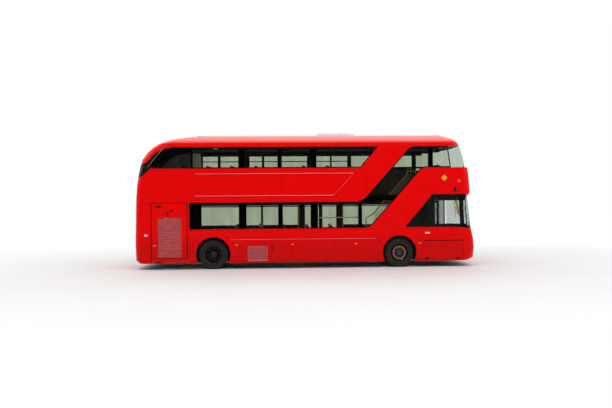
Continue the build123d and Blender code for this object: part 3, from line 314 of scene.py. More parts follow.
FINISH_SLOT.update({
    "rubber": "black_trim", "cab_tint": "tinted_glass", "lamp_amber": "lamp_red", "lamp_pale": "lamp_clear",
    "bronze": "rim_paint", "grille": "red_paint", "bay": "underframe_paint", "seam": "red_paint",
    "plate_white": "white_paint", "plate_yellow": "rail_paint", "grey": "cab_plastic",
    "baluster": "bright_steel", "hub": "rim_paint", "painted_highlight": "red_paint", "step_edge": "rail_paint",
    "green": "lamp_clear", "screen": "black_trim", "bracket": "bright_steel", "handle": "rail_paint",
})
OWN_FINISH = {"rear_glazing": "privacy", "wheel_boxes": "vinyl", "engine_bay_walls": "vinyl"}
node_slot = {part["node"]: part["material_slot"] for part in frame["record"]["subparts"]}
for name, obj in NODE.items():
    finish = FINISH[OWN_FINISH.get(name, SLOT_FINISH[node_slot[name]])]
    for slot in obj.material_slots:
        slot.material = finish
    if not obj.material_slots:
        obj.data.materials.append(finish)


# Mesh making
def into_scene(name, data):
    obj = bpy.data.objects.new(name, data)
    scene.collection.objects.link(obj)
    return obj


class Shape:
    """Gathers solids and strips into one mesh."""

    def __init__(self):
        self.bm = bmesh.new()

    def points(self, places):
        return [self.bm.verts.new(p) for p in places]

    def skin(self, rows, closed=False):
        """Quads between each row of vertices and the next, round to its start if closed."""
        for a, b in zip(rows, rows[1:]):
            for k in range(len(a) if closed else len(a) - 1):
                n = (k + 1) % len(a)
                self.bm.faces.new((a[k], a[n], b[n], b[k]))
        return self

    def box(self, x0, x1, y0, y1, z0, z1, turn=None):
        corners = [Vector((x, y, z)) for z in (z0, z1) for x, y in ((x0, y0), (x1, y0), (x1, y1), (x0, y1))]
        if turn:
            centre = Vector((x0 + x1, y0 + y1, z0 + z1)) / 2
            corners = [centre + turn @ (c - centre) for c in corners]
        v = self.points(corners)
        for f in ((3, 2, 1, 0), (4, 5, 6, 7), (0, 1, 5, 4), (1, 2, 6, 5), (2, 3, 7, 6), (3, 0, 4, 7)):
            self.bm.faces.new([v[i] for i in f])
        return self

    def on_side(self, x, z, width, height, out, back=0.0, way=-1):
        """A flat box centred at (x, z) on a side wall, from back inside its face to out beyond it."""
        y = sorted((way * (side - back), way * (side + out)))
        return self.box(x - width / 2, x + width / 2, *y, z - height / 2, z + height / 2)

    def prism(self, points, a, b):
        """A polygon of (x, z) points pushed along Y from a to b."""
        low, high = (self.points((u, y, v) for u, v in points) for y in (a, b))
        self.bm.faces.new(low[::-1])
        self.bm.faces.new(high)
        return self.skin([low, high], True)

    def tube(self, points, r, sides):
        points = [Vector(p) for p in points]
        rings = []
        for i, p in enumerate(points):
            ahead = (points[min(i + 1, len(points) - 1)] - points[max(i - 1, 0)]).normalized()
            up = Vector((0, 0, 1)) if abs(ahead.z) < 0.9 else Vector((1, 0, 0))
            across = ahead.cross(up).normalized()
            other = ahead.cross(across)
            angles = (2 * math.pi * k / sides for k in range(sides))
            rings.append(self.points(p + r * (math.cos(a) * across + math.sin(a) * other) for a in angles))
        self.skin(rings, True)
        self.bm.faces.new(rings[0][::-1])
        self.bm.faces.new(rings[-1])
        return self

    def lathe(self, profile, centre, way, count, closed=True):
        """Turns (out, radius) points about the Y axis through centre; out counts along way."""
        rings = []
        for i in range(count):
            a = 2 * math.pi * i / count
            rings.append(self.points(
                (centre[0] + r * math.cos(a), centre[1] + way * w, centre[2] + r * math.sin(a))
                for w, r in (profile(i) if callable(profile) else profile)))
        return self.skin(rings + rings[:1], closed)

    def ribbon(self, left, right):
        return self.skin([self.points(left), self.points(right)])

    def make(self, name, body, finish, bevel=0.0, solid=0.0):
        """Ends the gathering: the mesh becomes an object that rides on a body."""
        bmesh.ops.recalc_face_normals(self.bm, faces=self.bm.faces)
        mesh = bpy.data.meshes.new(name)
        self.bm.to_mesh(mesh)
        self.bm.free()
        mesh.materials.append(FINISH[finish])
        obj = into_scene(name, mesh)
        if solid:
            thick = obj.modifiers.new("solid", "SOLIDIFY")
            thick.thickness = solid
            thick.offset = 0.0
        if bevel:
            soft = obj.modifiers.new("bevel", "BEVEL")
            soft.width = bevel
            soft.segments = 2
            soft.limit_method = "ANGLE"
        for face in mesh.polygons:
            face.use_smooth = True
        mesh.set_sharp_from_angle(angle=SHARP_EDGE)
        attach(obj, body)
        return obj


# The outer skin, and for each of its faces: the place of (u, v) at a depth, the way a ray goes in, the
# depth where it starts, and the depth that stands in for a miss
skin = bmesh.new()
for name in ("side_wall_right", "side_wall_left", "rear_wall", "roof", "front_cowl", "front_panel",
             "side_glazing_right", "side_glazing_left", "windscreens", "rear_glazing", "engine_door",
             "roof_panel", "headlamps", "tail_lamps"):
    skin.from_mesh(NODE[name].data)
SKIN = BVHTree.FromBMesh(skin)
skin.free()
LOOK = {
    "right": (lambda u, v, d: Vector((u, d, v)), Vector((0, 1, 0)), -4, -side),
    "left": (lambda u, v, d: Vector((u, d, v)), Vector((0, -1, 0)), 4, side),
    "front": (lambda u, v, d: Vector((d, u, v)), Vector((-1, 0, 0)), 9, nose),
    "rear": (lambda u, v, d: Vector((d, u, v)), Vector((1, 0, 0)), -9, tail),
    "top": (lambda u, v, d: Vector((u, v, d)), Vector((0, 0, -1)), 9, 4.3),
}


def skin_hit(face, u, v, lift):
    """The point of the body's skin at (u, v) on a face, lifted off it, and the skin's normal there."""
    place, way, outside, flat = LOOK[face]
    hit, normal, _, _ = SKIN.ray_cast(place(u, v, outside), way)
    if hit is None:
        return place(u, v, flat) - way * lift, -way
    if normal.dot(way) > 0:
        normal = -normal
    return hit + normal * lift, normal


def on_skin(face, u, v, lift):
    return skin_hit(face, u, v, lift)[0]


def seam(shape, face, points, width=0.007, lift=0.0008, step=0.12):
    """A strip along (u, v) points on one face of the body, laid on its skin."""
    dense = []
    for (u0, v0), (u1, v1) in zip(points, points[1:]):
        n = max(1, int(math.hypot(u1 - u0, v1 - v0) / step))
        dense += [(u0 + (u1 - u0) * i / n, v0 + (v1 - v0) * i / n) for i in range(n)]
    dense.append(points[-1])
    hits = [skin_hit(face, u, v, lift) for u, v in dense]
    left, right = [], []
    for i, (p, normal) in enumerate(hits):
        along = (hits[min(i + 1, len(hits) - 1)][0] - hits[max(i - 1, 0)][0]).normalized()
        across = along.cross(normal).normalized() * width / 2
        left.append(p + across)
        right.append(p - across)
    return shape.ribbon(left, right)


def rounded(points, radii, n=7):
    """The outline of a polygon with an arc of n chords at each corner."""
    out = []
    for i, (p, r) in enumerate(zip(points, radii)):
        p, before, after = Vector(p), Vector(points[i - 1]), Vector(points[(i + 1) % len(points)])
        a, b = (before - p).normalized(), (after - p).normalized()
        half = a.angle(b) / 2
        reach = r / math.tan(half)
        centre = p + (a + b).normalized() * r / math.sin(half)
        start, end = p + a * reach - centre, p + b * reach - centre
        out += [centre + start.normalized().slerp(end.normalized(), k / n) * r for k in range(n + 1)]
    return [(v.x, v.y) for v in out]


def sheet_on(shape, face, u0, u1, v0, v1, lift, n, m):
    """A rectangle laid on the skin, as a grid that follows its curve."""
    return shape.skin([shape.points(on_skin(face, u0 + (u1 - u0) * i / n, v0 + (v1 - v0) * j / m, lift)
                                    for i in range(n + 1)) for j in range(m + 1)])


def pad(shape, lo, hi, crown, pull, channels, turn=None):
    """A stuffed pad between two corners: crowned face, sides drawn in between the corners, and sewn
    channels given as (across 0 or along 1, place, depth)."""
    size, centre = hi - lo, (lo + hi) / 2
    made = bmesh.new()
    bmesh.ops.create_cube(made, size=1.0)
    bmesh.ops.subdivide_edges(made, edges=made.edges[:], cuts=8, use_grid_fill=True)
    turn = turn or Matrix.Identity(4)
    verts = {}
    for v in made.verts:
        u, w, t = v.co * 2
        far_u, far_w = abs(u) ** 6, abs(w) ** 6
        round_off = 1 - 0.055 * far_u * far_w - 0.035 * abs(t) ** 4 * (far_u + far_w)
        x = u * round_off * (1 - pull * (1 - w * w) * abs(u) ** 4)
        y = w * round_off * (1 - pull * (1 - u * u) * abs(w) ** 4)
        z = t * (1 - 0.28 * max(far_u, far_w))
        if t > 0:
            z += crown * (1 - u ** 4) * (1 - w ** 4)
            for axis, spot, depth in channels:
                z -= depth * math.exp(-(((u, w)[axis] - spot) / 0.05) ** 2)
        verts[v] = shape.bm.verts.new(centre + turn @ Vector((x * size.x, y * size.y, z * size.z)) / 2)
    for f in made.faces:
        shape.bm.faces.new([verts[v] for v in f.verts])
    made.free()


def islands(node):
    """The loose solids of a CAD node, as (low, high) corners."""
    bm = bmesh.new()
    bm.from_mesh(NODE[node].data)
    bmesh.ops.remove_doubles(bm, verts=bm.verts, dist=1e-5)
    seen, found = set(), []
    for v in bm.verts:
        if v in seen:
            continue
        stack, group = [v], []
        seen.add(v)
        while stack:
            w = stack.pop()
            group.append(w.co.copy())
            for e in w.link_edges:
                o = e.other_vert(w)
                if o not in seen:
                    seen.add(o)
                    stack.append(o)
        found.append(tuple(Vector(pick(p[i] for p in group) for i in range(3)) for pick in (min, max)))
    bm.free()
    return found


# Wheels: ribbed road tread with notched shoulders, ringed sidewalls, and the parts on the rim
RIM_R, TYRE_R, HALF_TREAD, TWIN_PITCH = 0.292, front_hub.z, 0.1375, 0.32
STUDS, STUD_R, POINTER, POINTER_HALF = 10, 0.1675, 0.030, 0.028
# A nut on its stud, as (out, radius) from the rim's face
NUT = ((0.0, 0.024), (0.004, 0.024), (0.006, 0.0185), (0.022, 0.0175), (0.024, 0.013), (0.024, 0.011),
       (0.034, 0.0105), (0.035, 0.002), (0.0, 0.002))


def tyre_profile(i):
    """A tyre's outline as (out, radius) points; every fourth place around has a shoulder notch."""
    notch = 0.007 if i % 4 == 0 else 0.0
    out = [(0.105, RIM_R), (0.117, RIM_R + 0.004), (0.1255, RIM_R + 0.022), (0.1245, RIM_R + 0.027),
           (0.1325, RIM_R + 0.052), (0.1345, RIM_R + 0.054), (0.1375, RIM_R + 0.078),
           (0.1375, TYRE_R - 0.066), (0.1350, TYRE_R - 0.058), (0.1352, TYRE_R - 0.046),
           (0.1290, TYRE_R - 0.026), (0.1200, TYRE_R - 0.010 - notch), (0.1080, TYRE_R - 0.004 - notch),
           (0.0840, TYRE_R - 0.002 - notch * 0.4)]
    for w in (0.078, 0.028):
        out += [(w, TYRE_R - 0.0015), (w - 0.002, TYRE_R - 0.013), (w - 0.010, TYRE_R - 0.013),
                (w - 0.012, TYRE_R - 0.001)]
    return out + [(-w, r) for w, r in reversed(out)]


def wheel(end, label, hub, way):
    """The tyre of one wheel station, and the nuts, caps, lip and valve of its rim."""
    front = end == "front"
    station = "_%s_%s" % (end, label)
    body, node = "wheel" + station, ("front_tyre_" if front else "rear_tyres_") + label
    lo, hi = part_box(node)
    y = (hi.y if way > 0 else lo.y) - way * HALF_TREAD
    centre = (hub.x, y, hub.z)
    shape = Shape()
    for back in ((0.0,) if front else (0.0, TWIN_PITCH)):
        shape.lathe(tyre_profile, (hub.x, y - way * back, hub.z), way, 96)
    tyre = shape.make("tyre" + station, body, "tyre")
    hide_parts(node)

    def around(r, count, shift=0.0):
        """(x, z, cosine, sine) of places evenly spaced on a circle round the hub."""
        turns = [2 * math.pi * (k + shift) / count for k in range(count)]
        return [(hub.x + r * math.cos(a), hub.z + r * math.sin(a), math.cos(a), math.sin(a)) for a in turns]

    nuts, cap = Shape(), Shape()
    face, studs = 0.098 if front else -0.148, around(STUD_R, STUDS, 0.5)
    for x, z, _, _ in studs:
        nuts.lathe([(face + w, r) for w, r in NUT], (x, y, z), way, 6)
    nuts.make("wheel_nuts" + station, body, "bronze" if front else "rim")
    if front:
        pointers = Shape()
        flat = sorted((y + way * (face + 0.001), y + way * (face + 0.005)))
        for x, z, cosine, sine in studs:
            tip = (x - POINTER * cosine, z - POINTER * sine)
            for b in (-POINTER_HALF, POINTER_HALF):
                pointers.prism([(x, z), (x - b * sine, z + b * cosine), tip], *flat)
        pointers.make("nut_pointers_" + label, body, "bronze")
        ring = Shape().lathe([(0.098, 0.176), (0.106, 0.180), (0.109, 0.188), (0.109, 0.210),
                              (0.106, 0.218), (0.098, 0.222)], centre, way, 72, False)
        ring.make("nut_ring_" + label, body, "bronze")
        bolt, dome = 0.128, [(0.118, 0.086), (0.126, 0.086), (0.136, 0.072), (0.137, 0.050),
                             (0.132, 0.046), (0.132, 0.0015)]
    else:
        bolt, dome = 0.046, [(0.045, 0.086), (0.054, 0.082), (0.058, 0.060), (0.058, 0.0015)]
    cap.lathe(dome, centre, way, 48, False)
    for x, z, _, _ in around(0.078, 8):
        cap.lathe([(bolt, 0.008), (bolt + 0.010, 0.0075), (bolt + 0.011, 0.001)], (x, y, z), way, 6, False)
    cap.make("hub_cap" + station, body, "hub" if front else "rim")
    lip = Shape().lathe([(0.100, 0.284), (0.112, 0.284), (0.116, 0.290), (0.114, 0.297), (0.104, 0.298),
                         (0.100, 0.294)], centre, way, 72)
    lip.make("rim_lip" + station, body, "rim")
    valve = Shape().tube([(hub.x + along, y + way * out, hub.z)
                          for along, out in ((0.235, 0.02), (0.245, 0.075), (0.245, 0.100))], 0.005, 8)
    valve.make("valve" + station, body, "steel")


for label, way in (("left", 1.0), ("right", -1.0)):
    wheel("front", label, front_hub, way)
    wheel("rear", label, rear_hub, way)

# Seats: a pad's crown is its local Z, which faces forward on a back rest
FORWARD = Matrix(((0, 0, 1, 0), (0, 1, 0, 0), (-1, 0, 0, 0), (0, 0, 0, 1)))


def seat_group(node, name):
    """Stuffed cushions and backs in plastic shells, two to each base, on steel frames."""
    pads, shells, bars = Shape(), Shape(), Shape()
    for lo, hi in islands(node):
        wide, tall = (hi.y - lo.y) / 2, hi.z - lo.z
        places = (lo.y, lo.y + wide)
        if tall < 0.5:    # a base; the backs are taller
            top, base = hi.z, hi.z - 0.09
            for y in places:
                pad(pads, Vector((lo.x + 0.015, y + 0.008, base + 0.022)),
                    Vector((hi.x, y + wide - 0.008, top - 0.010)), 0.34, 0.03,
                    ((1, -0.62, 0.25), (1, 0.62, 0.25), (0, 0.45, 0.2)))
                shells.box(lo.x + 0.02, hi.x - 0.02, y + 0.014, y + wide - 0.014, base, base + 0.026)
            for y in (lo.y + 0.17, hi.y - 0.17):
                for x in (lo.x + 0.10, lo.x + 0.30):
                    bars.tube([(x, y, lo.z), (x + 0.01, y, base + 0.005)], 0.017, 8)
                bars.box(lo.x + 0.06, lo.x + 0.34, y - 0.03, y + 0.03, lo.z, lo.z + 0.012)
            continue
        turn = Matrix.Rotation(-math.atan2(0.115, tall), 4, "Y")
        half = Vector((tall / 2 - 0.012, wide / 2 - 0.01, 0.030))
        for y in places:
            centre = Vector(((lo.x + hi.x) / 2, y + wide / 2, (lo.z + hi.z) / 2))
            spot = centre + turn @ Vector((0.004, 0, 0))
            pad(pads, spot - half, spot + half, 0.5, 0.03,
                ((1, -0.6, 0.3), (1, 0.6, 0.3), (0, -0.5, 0.25)), turn @ FORWARD)
            shells.box(centre.x - 0.042, centre.x - 0.026, y + 0.012, y + wide - 0.012,
                       lo.z + 0.01, hi.z - 0.012, turn.to_3x3())
        # Grab loop on the aisle-side shoulder
        y_in, step = (hi.y, -1) if abs(hi.y) < abs(lo.y) else (lo.y, 1)
        loop = ((0.035, 0.03, 0.10), (0.02, 0.03, 0.03), (0.035, 0.05, 0.006),
                (0.035, 0.17, 0.006), (0.02, 0.19, 0.03), (0.035, 0.19, 0.10))
        bars.tube([(lo.x + x, y_in + step * y, hi.z - down) for x, y, down in loop], 0.012, 8)
    cushions = pads.make(name + "_pads", "body", "moquette")
    shells.make(name + "_shells", "body", "plastic", 0.004)
    bars.make(name + "_frames", "body", "bracket")
    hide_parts(node)


seat_group("upper_seats", "upper_seat")
seat_group("lower_seats", "lower_seat")

# Driver's seat: cushion, bolstered back and head rest on a bellows
lo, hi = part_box("driver_seat")
seat = Shape()
upright = Matrix.Rotation(-math.atan2(0.11, 0.83), 4, "Y") @ FORWARD
seat_z = lo.z + 0.44
along = ((1, -0.6, 0.25), (1, 0.6, 0.25))
pad(seat, Vector((hi.x - 0.47, lo.y + 0.01, seat_z - 0.10)),
    Vector((hi.x - 0.005, hi.y - 0.01, seat_z - 0.012)), 0.4, 0.03, along)
for x, z, half, pull, channels in (
        (0.105, seat_z + 0.30, Vector((0.29, 0.225, 0.036)), 0.03, (*along, (0, 0.3, 0.2))),
        (0.056, hi.z - 0.115, Vector((0.105, 0.14, 0.034)), 0.05, ())):
    mid = Vector((lo.x + x, (lo.y + hi.y) / 2, z))
    pad(seat, mid - half, mid + half, 0.4, pull, channels, upright)
cab_pads = seat.make("driver_pads", "body", "moquette")
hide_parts("driver_seat")
base = Shape()
base.box(lo.x + 0.15, hi.x - 0.10, lo.y + 0.09, hi.y - 0.09, lo.z, lo.z + 0.12)
for k in range(5):
    z = lo.z + 0.12 + k * 0.036
    base.box(lo.x + 0.17, hi.x - 0.12, lo.y + 0.11, hi.y - 0.11, z + 0.004, z + 0.032)
base.box(lo.x + 0.10, hi.x - 0.03, lo.y + 0.03, hi.y - 0.03, seat_z - 0.135, seat_z - 0.095)
base.make("driver_seat_base", "body", "plastic", 0.006)

# Joints between the skin panels, a painted highlight along the crease of the skirt, and painted
# shade under the engine grille
lo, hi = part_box("engine_door")
door_front = lo.x + 1.109    # of the door's outer panel: its hinge reaches further
lines, folds = Shape(), Shape()
JOINTS = [
    ("right", 0.007, [(-5.25, HEAD - 0.005), (-5.01, HEAD - 0.005)]),
    ("right", 0.007, [(-3.77, skirt + 0.02), (-3.77, HEAD - 0.02)]),
    ("right", 0.005, [(-0.841, HEAD + 0.01), (-0.841, UPPER_SILL - 0.005)]),
    ("right", 0.005, [(-3.79, 1.255), (5.24, 1.255)]),
    ("left", 0.005, [(-4.2, 1.255), (-0.1, 1.255)]),
    ("left", 0.005, [(1.28, 1.255), (3.70, 1.255)]),
    ("right", 0.026, [(front_x + 0.79, 0.86), (5.08, 0.86)]),
    ("right", 0.012, [(5.08, 0.86), (5.08, skirt + 0.1)]),
    ("right", 0.024, [(lo.x - 0.014, skirt + 0.015), (lo.x - 0.014, hi.z + 0.008)]),
    ("right", 0.018, [(door_front + 0.022, skirt + 0.015), (door_front + 0.022, hi.z + 0.008)]),
    ("right", 0.010, [(lo.x - 0.012, hi.z + 0.011), (door_front + 0.020, hi.z + 0.011)]),
    ("front", 0.006, [(-0.95, 0.50), (0.95, 0.50)]),
    ("front", 0.006, [(-0.70, 1.02), (0.70, 1.02)]),
    ("rear", 0.007, [(-0.95, 0.62), (0.30, 0.62), (0.30, 2.05), (-0.95, 2.05), (-0.95, 0.62)]),
    ("rear", 0.007, [(-1.10, 0.56), (1.10, 0.56)]),
    ("rear", 0.006, [(-1.05, 2.20), (0.20, 2.20)]),
]
JOINTS += [("front", 0.005, [(y, 0.34), (y, 1.20)]) for y in (-0.95, 0.95)]
for face in ("right", "left"):
    JOINTS += [(face, 0.005, [(x, skirt + 0.01), (x, LOW_FOLD)]) for x in (-1.16, -0.52, 0.88)]
    JOINTS += [(face, 0.004, [(x, 2.20), (x, UPPER_SILL - 0.005)]) for x in (-2.35, 1.95)]
    seam(folds, face, [(rear_x + 0.56, LOW_FOLD), (front_x - 0.76, LOW_FOLD)], 0.007)
for face, width, points in JOINTS:
    seam(lines, face, points, width)
# Painted shade: a dark strip across the engine door under its grille
shade_under_grille = seam(Shape(), "right", [(lo.x + 0.03, 0.372), (door_front - 0.02, 0.372)], 0.016)
shade_under_grille.make("engine_door_grille_shade", "engine_door", "seam", solid=0.0006)
lines.make("skin_joints", "body", "seam", solid=0.0006)
folds.make("fold_highlights", "body", "painted_highlight", solid=0.0006)

# Raised surrounds of the wheel arches, highest at the edge of the opening
flares = Shape()
for face, rise in (("right", 0.0112), ("left", 0.0062)):
    profile = ((0.004, 0.0), (0.006, rise), (0.060, rise * 0.5), (0.125, 0.0004))
    for hub_x in (front_x, rear_x):
        loops = []
        for k in range(73):
            a = math.radians(-32 + 244 * k / 72)
            spots = [(hub_x + (ARCH_R + out) * math.cos(a), ARCH_Z + (ARCH_R + out) * math.sin(a), lift)
                     for out, lift in profile]
            if min(z for _, z, _ in spots) >= skirt + 0.012:
                loops.append([on_skin(face, *spot) for spot in spots])
        rings = list(zip(*loops))
        for inner, outer in zip(rings, rings[1:]):
            flares.ribbon(inner, outer)
flares.make("arch_surrounds", "body", "red")

# Painted highlights: pale strips along the tops of the mouldings that frame the bare panel
painted_highlights = Shape()
frame_z0, frame_z1 = 2.338, 3.048
frame_x0 = rear_x - 0.564
frame_x1 = front_x - 2.30 + SLANT * (frame_z0 - HEAD)
frame_x2 = frame_x1 + SLANT * (frame_z1 - frame_z0)
painted_highlight_y = (-side - 0.0123, -side - 0.008)
for x_end, z in ((frame_x1, frame_z0), (frame_x2, frame_z1)):
    painted_highlights.box(frame_x0 + 0.004, x_end - 0.004, *painted_highlight_y, z + 0.012, z + 0.0255)
painted_highlights.prism([(frame_x1 + 0.004, frame_z0 + 0.022), (frame_x1 + 0.010, frame_z0 + 0.022),
             (frame_x2 + 0.002, frame_z1 + 0.006), (frame_x2 - 0.004, frame_z1 + 0.006)], *painted_highlight_y)
painted_highlights.make("moulding_painted_highlights", "body", "painted_highlight")

# Markers, repeaters, plates and small fittings, from the photograph
MARKER, OUT = (0.778, 0.080, 0.032), 0.0065    # (z, width, height), and how far it stands out
on_door = Shape().on_side(-4.895, *MARKER, OUT)
on_door.make("engine_door_marker", "engine_door", "lamp_amber", 0.003)
amber, pale, plate, diamond = Shape(), Shape(), Shape(), Shape()
for x in (-2.282, -0.486, 1.57, 3.654):
    for way in (-1, 1):
        amber.on_side(x, *MARKER, OUT, way=way)
amber.make("side_markers", "body", "lamp_amber", 0.004)
for x, way in ((3.91, -1), (3.62, 1)):
    pale.on_side(x, 1.108, 0.150, 0.040, OUT, way=way)
pale.make("side_repeaters", "body", "lamp_pale", 0.006)
for x in (-5.188, -5.138):
    for z in (1.0905, 1.1265):
        plate.on_side(x, z, 0.044, 0.031, 0.003, 0.001)
plate.make("side_plate", "body", "plate_white", 0.002)
x, z, r = 4.473, 2.898, 0.100
diamond.prism([(x - r, z), (x, z - r), (x + r, z), (x, z + r)], -side - 0.003, -side + 0.001)
diamond.make("side_diamond", "body", "plate_yellow", 0.002)


def fittings(name, rides, places):
    """Dark flush fittings: a frame and a raised middle at each (x, z, width, height)."""
    shape = Shape()
    for x, z, w, h in places:
        shape.on_side(x, z, w, h, 0.008, 0.004)
        shape.on_side(x, z, w - 2 * min(0.012, w / 4), h - 2 * min(0.009, h / 4), 0.0115, -0.006)
    shape.make(name, rides, "bay", 0.003)


fittings("side_fittings", "body", (
    (-4.770, 0.247, 0.150, 0.032), (3.886, 0.268, 0.120, 0.060), (4.906, 0.280, 0.110, 0.054),
    (-1.125, 0.670, 0.034, 0.100)))
fittings("engine_door_fittings", "engine_door", (
    (-4.758, 2.029, 0.160, 0.050), (-4.362, 1.888, 0.110, 0.042), (-4.485, 1.795, 0.050, 0.115)))

# Louvred vent and engine grille
SLAT_PITCH, SLAT_IN, SLAT_TILT = 0.062, 0.018, math.radians(35)


def blades(name, rides, x0, x1, z0, z1, rim):
    """A pressed frame round an opening, and a painted blade and lip on each slat of the source."""
    shape = Shape()
    for a, b, c, d in ((x0 - rim, x1 + rim, z1, z1 + rim), (x0 - rim, x1 + rim, z0 - rim, z0),
                       (x0 - rim, x0, z0, z1), (x1, x1 + rim, z0, z1)):
        shape.box(a, b, -side - 0.004, -side + 0.003, c, d)
    tilt = Matrix.Rotation(SLAT_TILT, 3, "X")
    count = int((z1 - z0) / SLAT_PITCH)
    y = -side + SLAT_IN
    for k in range(count):
        z = z0 + (k + 0.5) * (z1 - z0) / count
        shape.box(x0 + 0.001, x1 - 0.001, y - 0.0065, y + 0.0045, z - 0.0275, z + 0.0275, tilt)
        shape.box(x0 + 0.001, x1 - 0.001, y - 0.0165, y - 0.0125, z - 0.0345, z - 0.0265)
    shape.make(name, rides, "grille", 0.001)


blades("side_louvre", "body", -1.903, -1.315, 0.272, 0.712, 0.018)
lo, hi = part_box("engine_door")
blades("engine_slats", "engine_door", lo.x + 0.208, door_front - 0.172, 0.397, 1.652, 0.004)

# Roof: joints across and along the white skin, and a lip round the pod
lo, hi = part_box("roof_panel")
roof_lines = Shape()
for k in range(8):
    x = lo.x + 0.02 + k * (hi.x - lo.x - 0.04) / 7
    seam(roof_lines, "top", [(x, -0.86), (x, 0.86)], 0.022, 0.002, 0.1)
for y in (-0.84, 0.84):
    seam(roof_lines, "top", [(lo.x + 0.02, y), (hi.x - 0.02, y)], 0.016, 0.002, 0.4)
roof_lines.make("roof_joints", "body", "white", solid=0.003)
lo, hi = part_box("roof_pod")
outline = rounded([(lo.x, lo.y), (hi.x, lo.y), (hi.x, hi.y), (lo.x, hi.y)], (0.12,) * 4)
path = [on_skin("top", u * 1.012 - 0.012, v * 1.02, 0.003) for u, v in outline + outline[:1]]
Shape().tube(path, 0.007, 8).make("pod_lip", "body", "white")

# Destination display and the bare number plates
for name, finish, face, reach, z0, z1, lift, grid, thick in (
        ("front_display", "screen", "front", 0.78, 2.47, 3.00, 0.004, (14, 6), 0.004),
        ("front_plate", "plate_white", "front", 0.26, 0.36, 0.47, 0.006, (6, 2), 0.004),
        ("rear_plate", "plate_yellow", "rear", 0.26, 0.62, 0.73, 0.0008, (6, 2), 0.001)):
    sheet_on(Shape(), face, -reach, reach, z0, z1, lift, *grid).make(name, "body", finish, solid=thick)

# A camera dome and an outlined box on each side of the front
domes, boxes = Shape(), Shape()
for way in (-1, 1):
    domes.lathe([(0.0, 0.048), (0.0025, 0.046), (0.0045, 0.036), (0.006, 0.020), (OUT, 0.001)],
                (4.957, way * side, 2.80), way, 24, False)
    for x0, x1, z0, z1 in ((4.78, 4.97, 2.452, 2.464), (4.78, 4.97, 2.566, 2.578),
                           (4.78, 4.865, 2.464, 2.566), (4.958, 4.97, 2.464, 2.566)):
        boxes.on_side((x0 + x1) / 2, (z0 + z1) / 2, x1 - x0, z1 - z0, OUT, way=way)
domes.make("camera_domes", "body", "grey")
boxes.make("side_boxes", "body", "black", 0.004)

# Wipers: an arm from the scuttle, and an upright blade at its tip
wipers = Shape()
parts = [k / 8 for k in range(9)]
for foot, tip in ((-0.78, -0.25), (0.12, 0.70)):
    wipers.tube([on_skin("front", foot + (tip - foot) * t, 1.30 + 0.62 * t, 0.014) for t in parts], 0.009, 8)
    wipers.tube([on_skin("front", tip + 0.02, 1.56 + 0.72 * t, 0.007) for t in parts], 0.007, 8)
wipers.make("wipers", "body", "rubber")

# Yellow step edges on both stairs: the front flight climbs forward, the rear one to the right
edges, rise = Shape(), DECK_RISE / STEPS
first_x, first_y = front_x - 1.10, side - 0.33
for k in range(STEPS):
    run, z = k * SLANT * rise, FLOOR_Z + (k + 1) * rise
    x, y, flat = first_x + run, first_y - run, (z - 0.001, z + 0.005)
    edges.box(x - 0.004, x + 0.035, -1.195, -0.575, *flat)
    edges.box(tail + 0.20, tail + 0.79, y - 0.035, y + 0.004, *flat)
edges.make("step_edges", "body", "step_edge", 0.002)


def border(shape, face, points, radii, width=0.036):
    """A band of the given width inside a window's outline, printed on the inner face of its pane."""
    outline = rounded(points, radii)
    n = len(outline)
    turn = sum(outline[i - 1][0] * outline[i][1] - outline[i][0] * outline[i - 1][1] for i in range(n))
    inner = []
    for i, (u, v) in enumerate(outline):
        along = Vector(outline[(i + 1) % n]) - Vector(outline[i - 1])
        inward = Vector((-along.y, along.x)).normalized() * math.copysign(width / 2, turn)
        inner.append((u + inward.x, v + inward.y))
    return seam(shape, face, inner + inner[:2], width, PANE_BACK, 0.25)


# Black borders printed inside the glass
SWOOSH = [(-3.79, SILL), (-3.79, HEAD), (1.775, HEAD), (3.371, UPPER_HEAD), (4.600, UPPER_HEAD),
          (4.700, UPPER_SILL), (3.772, UPPER_SILL), (2.029, SILL)]
UPPER_BAND = [(-3.72, UPPER_SILL), (-3.72, UPPER_HEAD), (2.320, UPPER_HEAD), (1.753, UPPER_SILL)]
LEFT_BAND = [(-3.72, UPPER_SILL), (-3.72, UPPER_HEAD), (4.600, UPPER_HEAD), (4.700, UPPER_SILL)]
CAB_WINDOW = [(3.173, 1.303), (4.084, 2.370), (5.188, 2.365), (5.240, SILL)]
SQUARE = (0.02,) * 4
margin = Shape()
border(margin, "right", SWOOSH, (0.03, 0.03, 0.5, 0.3, 0.02, 0.02, 0.25, 0.42))
border(margin, "right", UPPER_BAND, SQUARE)
border(margin, "right", CAB_WINDOW, SQUARE, 0.045)
border(margin, "left", LEFT_BAND, SQUARE)
for z, width in ((SILL, 0.075), (2.300, 0.075), (3.262, 0.045)):
    seam(margin, "front", [(-1.17, z), (1.17, z)], width, PANE_BACK)
for face in ("right", "left"):
    seam(margin, face, [(5.23, SILL), (5.44, SILL)], 0.075, PANE_BACK)
for x0, x1 in ((-4.05, -0.21), (1.39, 3.62)):
    border(margin, "left", [(x0, SILL), (x0, HEAD), (x1, HEAD), (x1, SILL)], SQUARE)
margin.make("glass_margins", "body", "black", solid=0.0012)

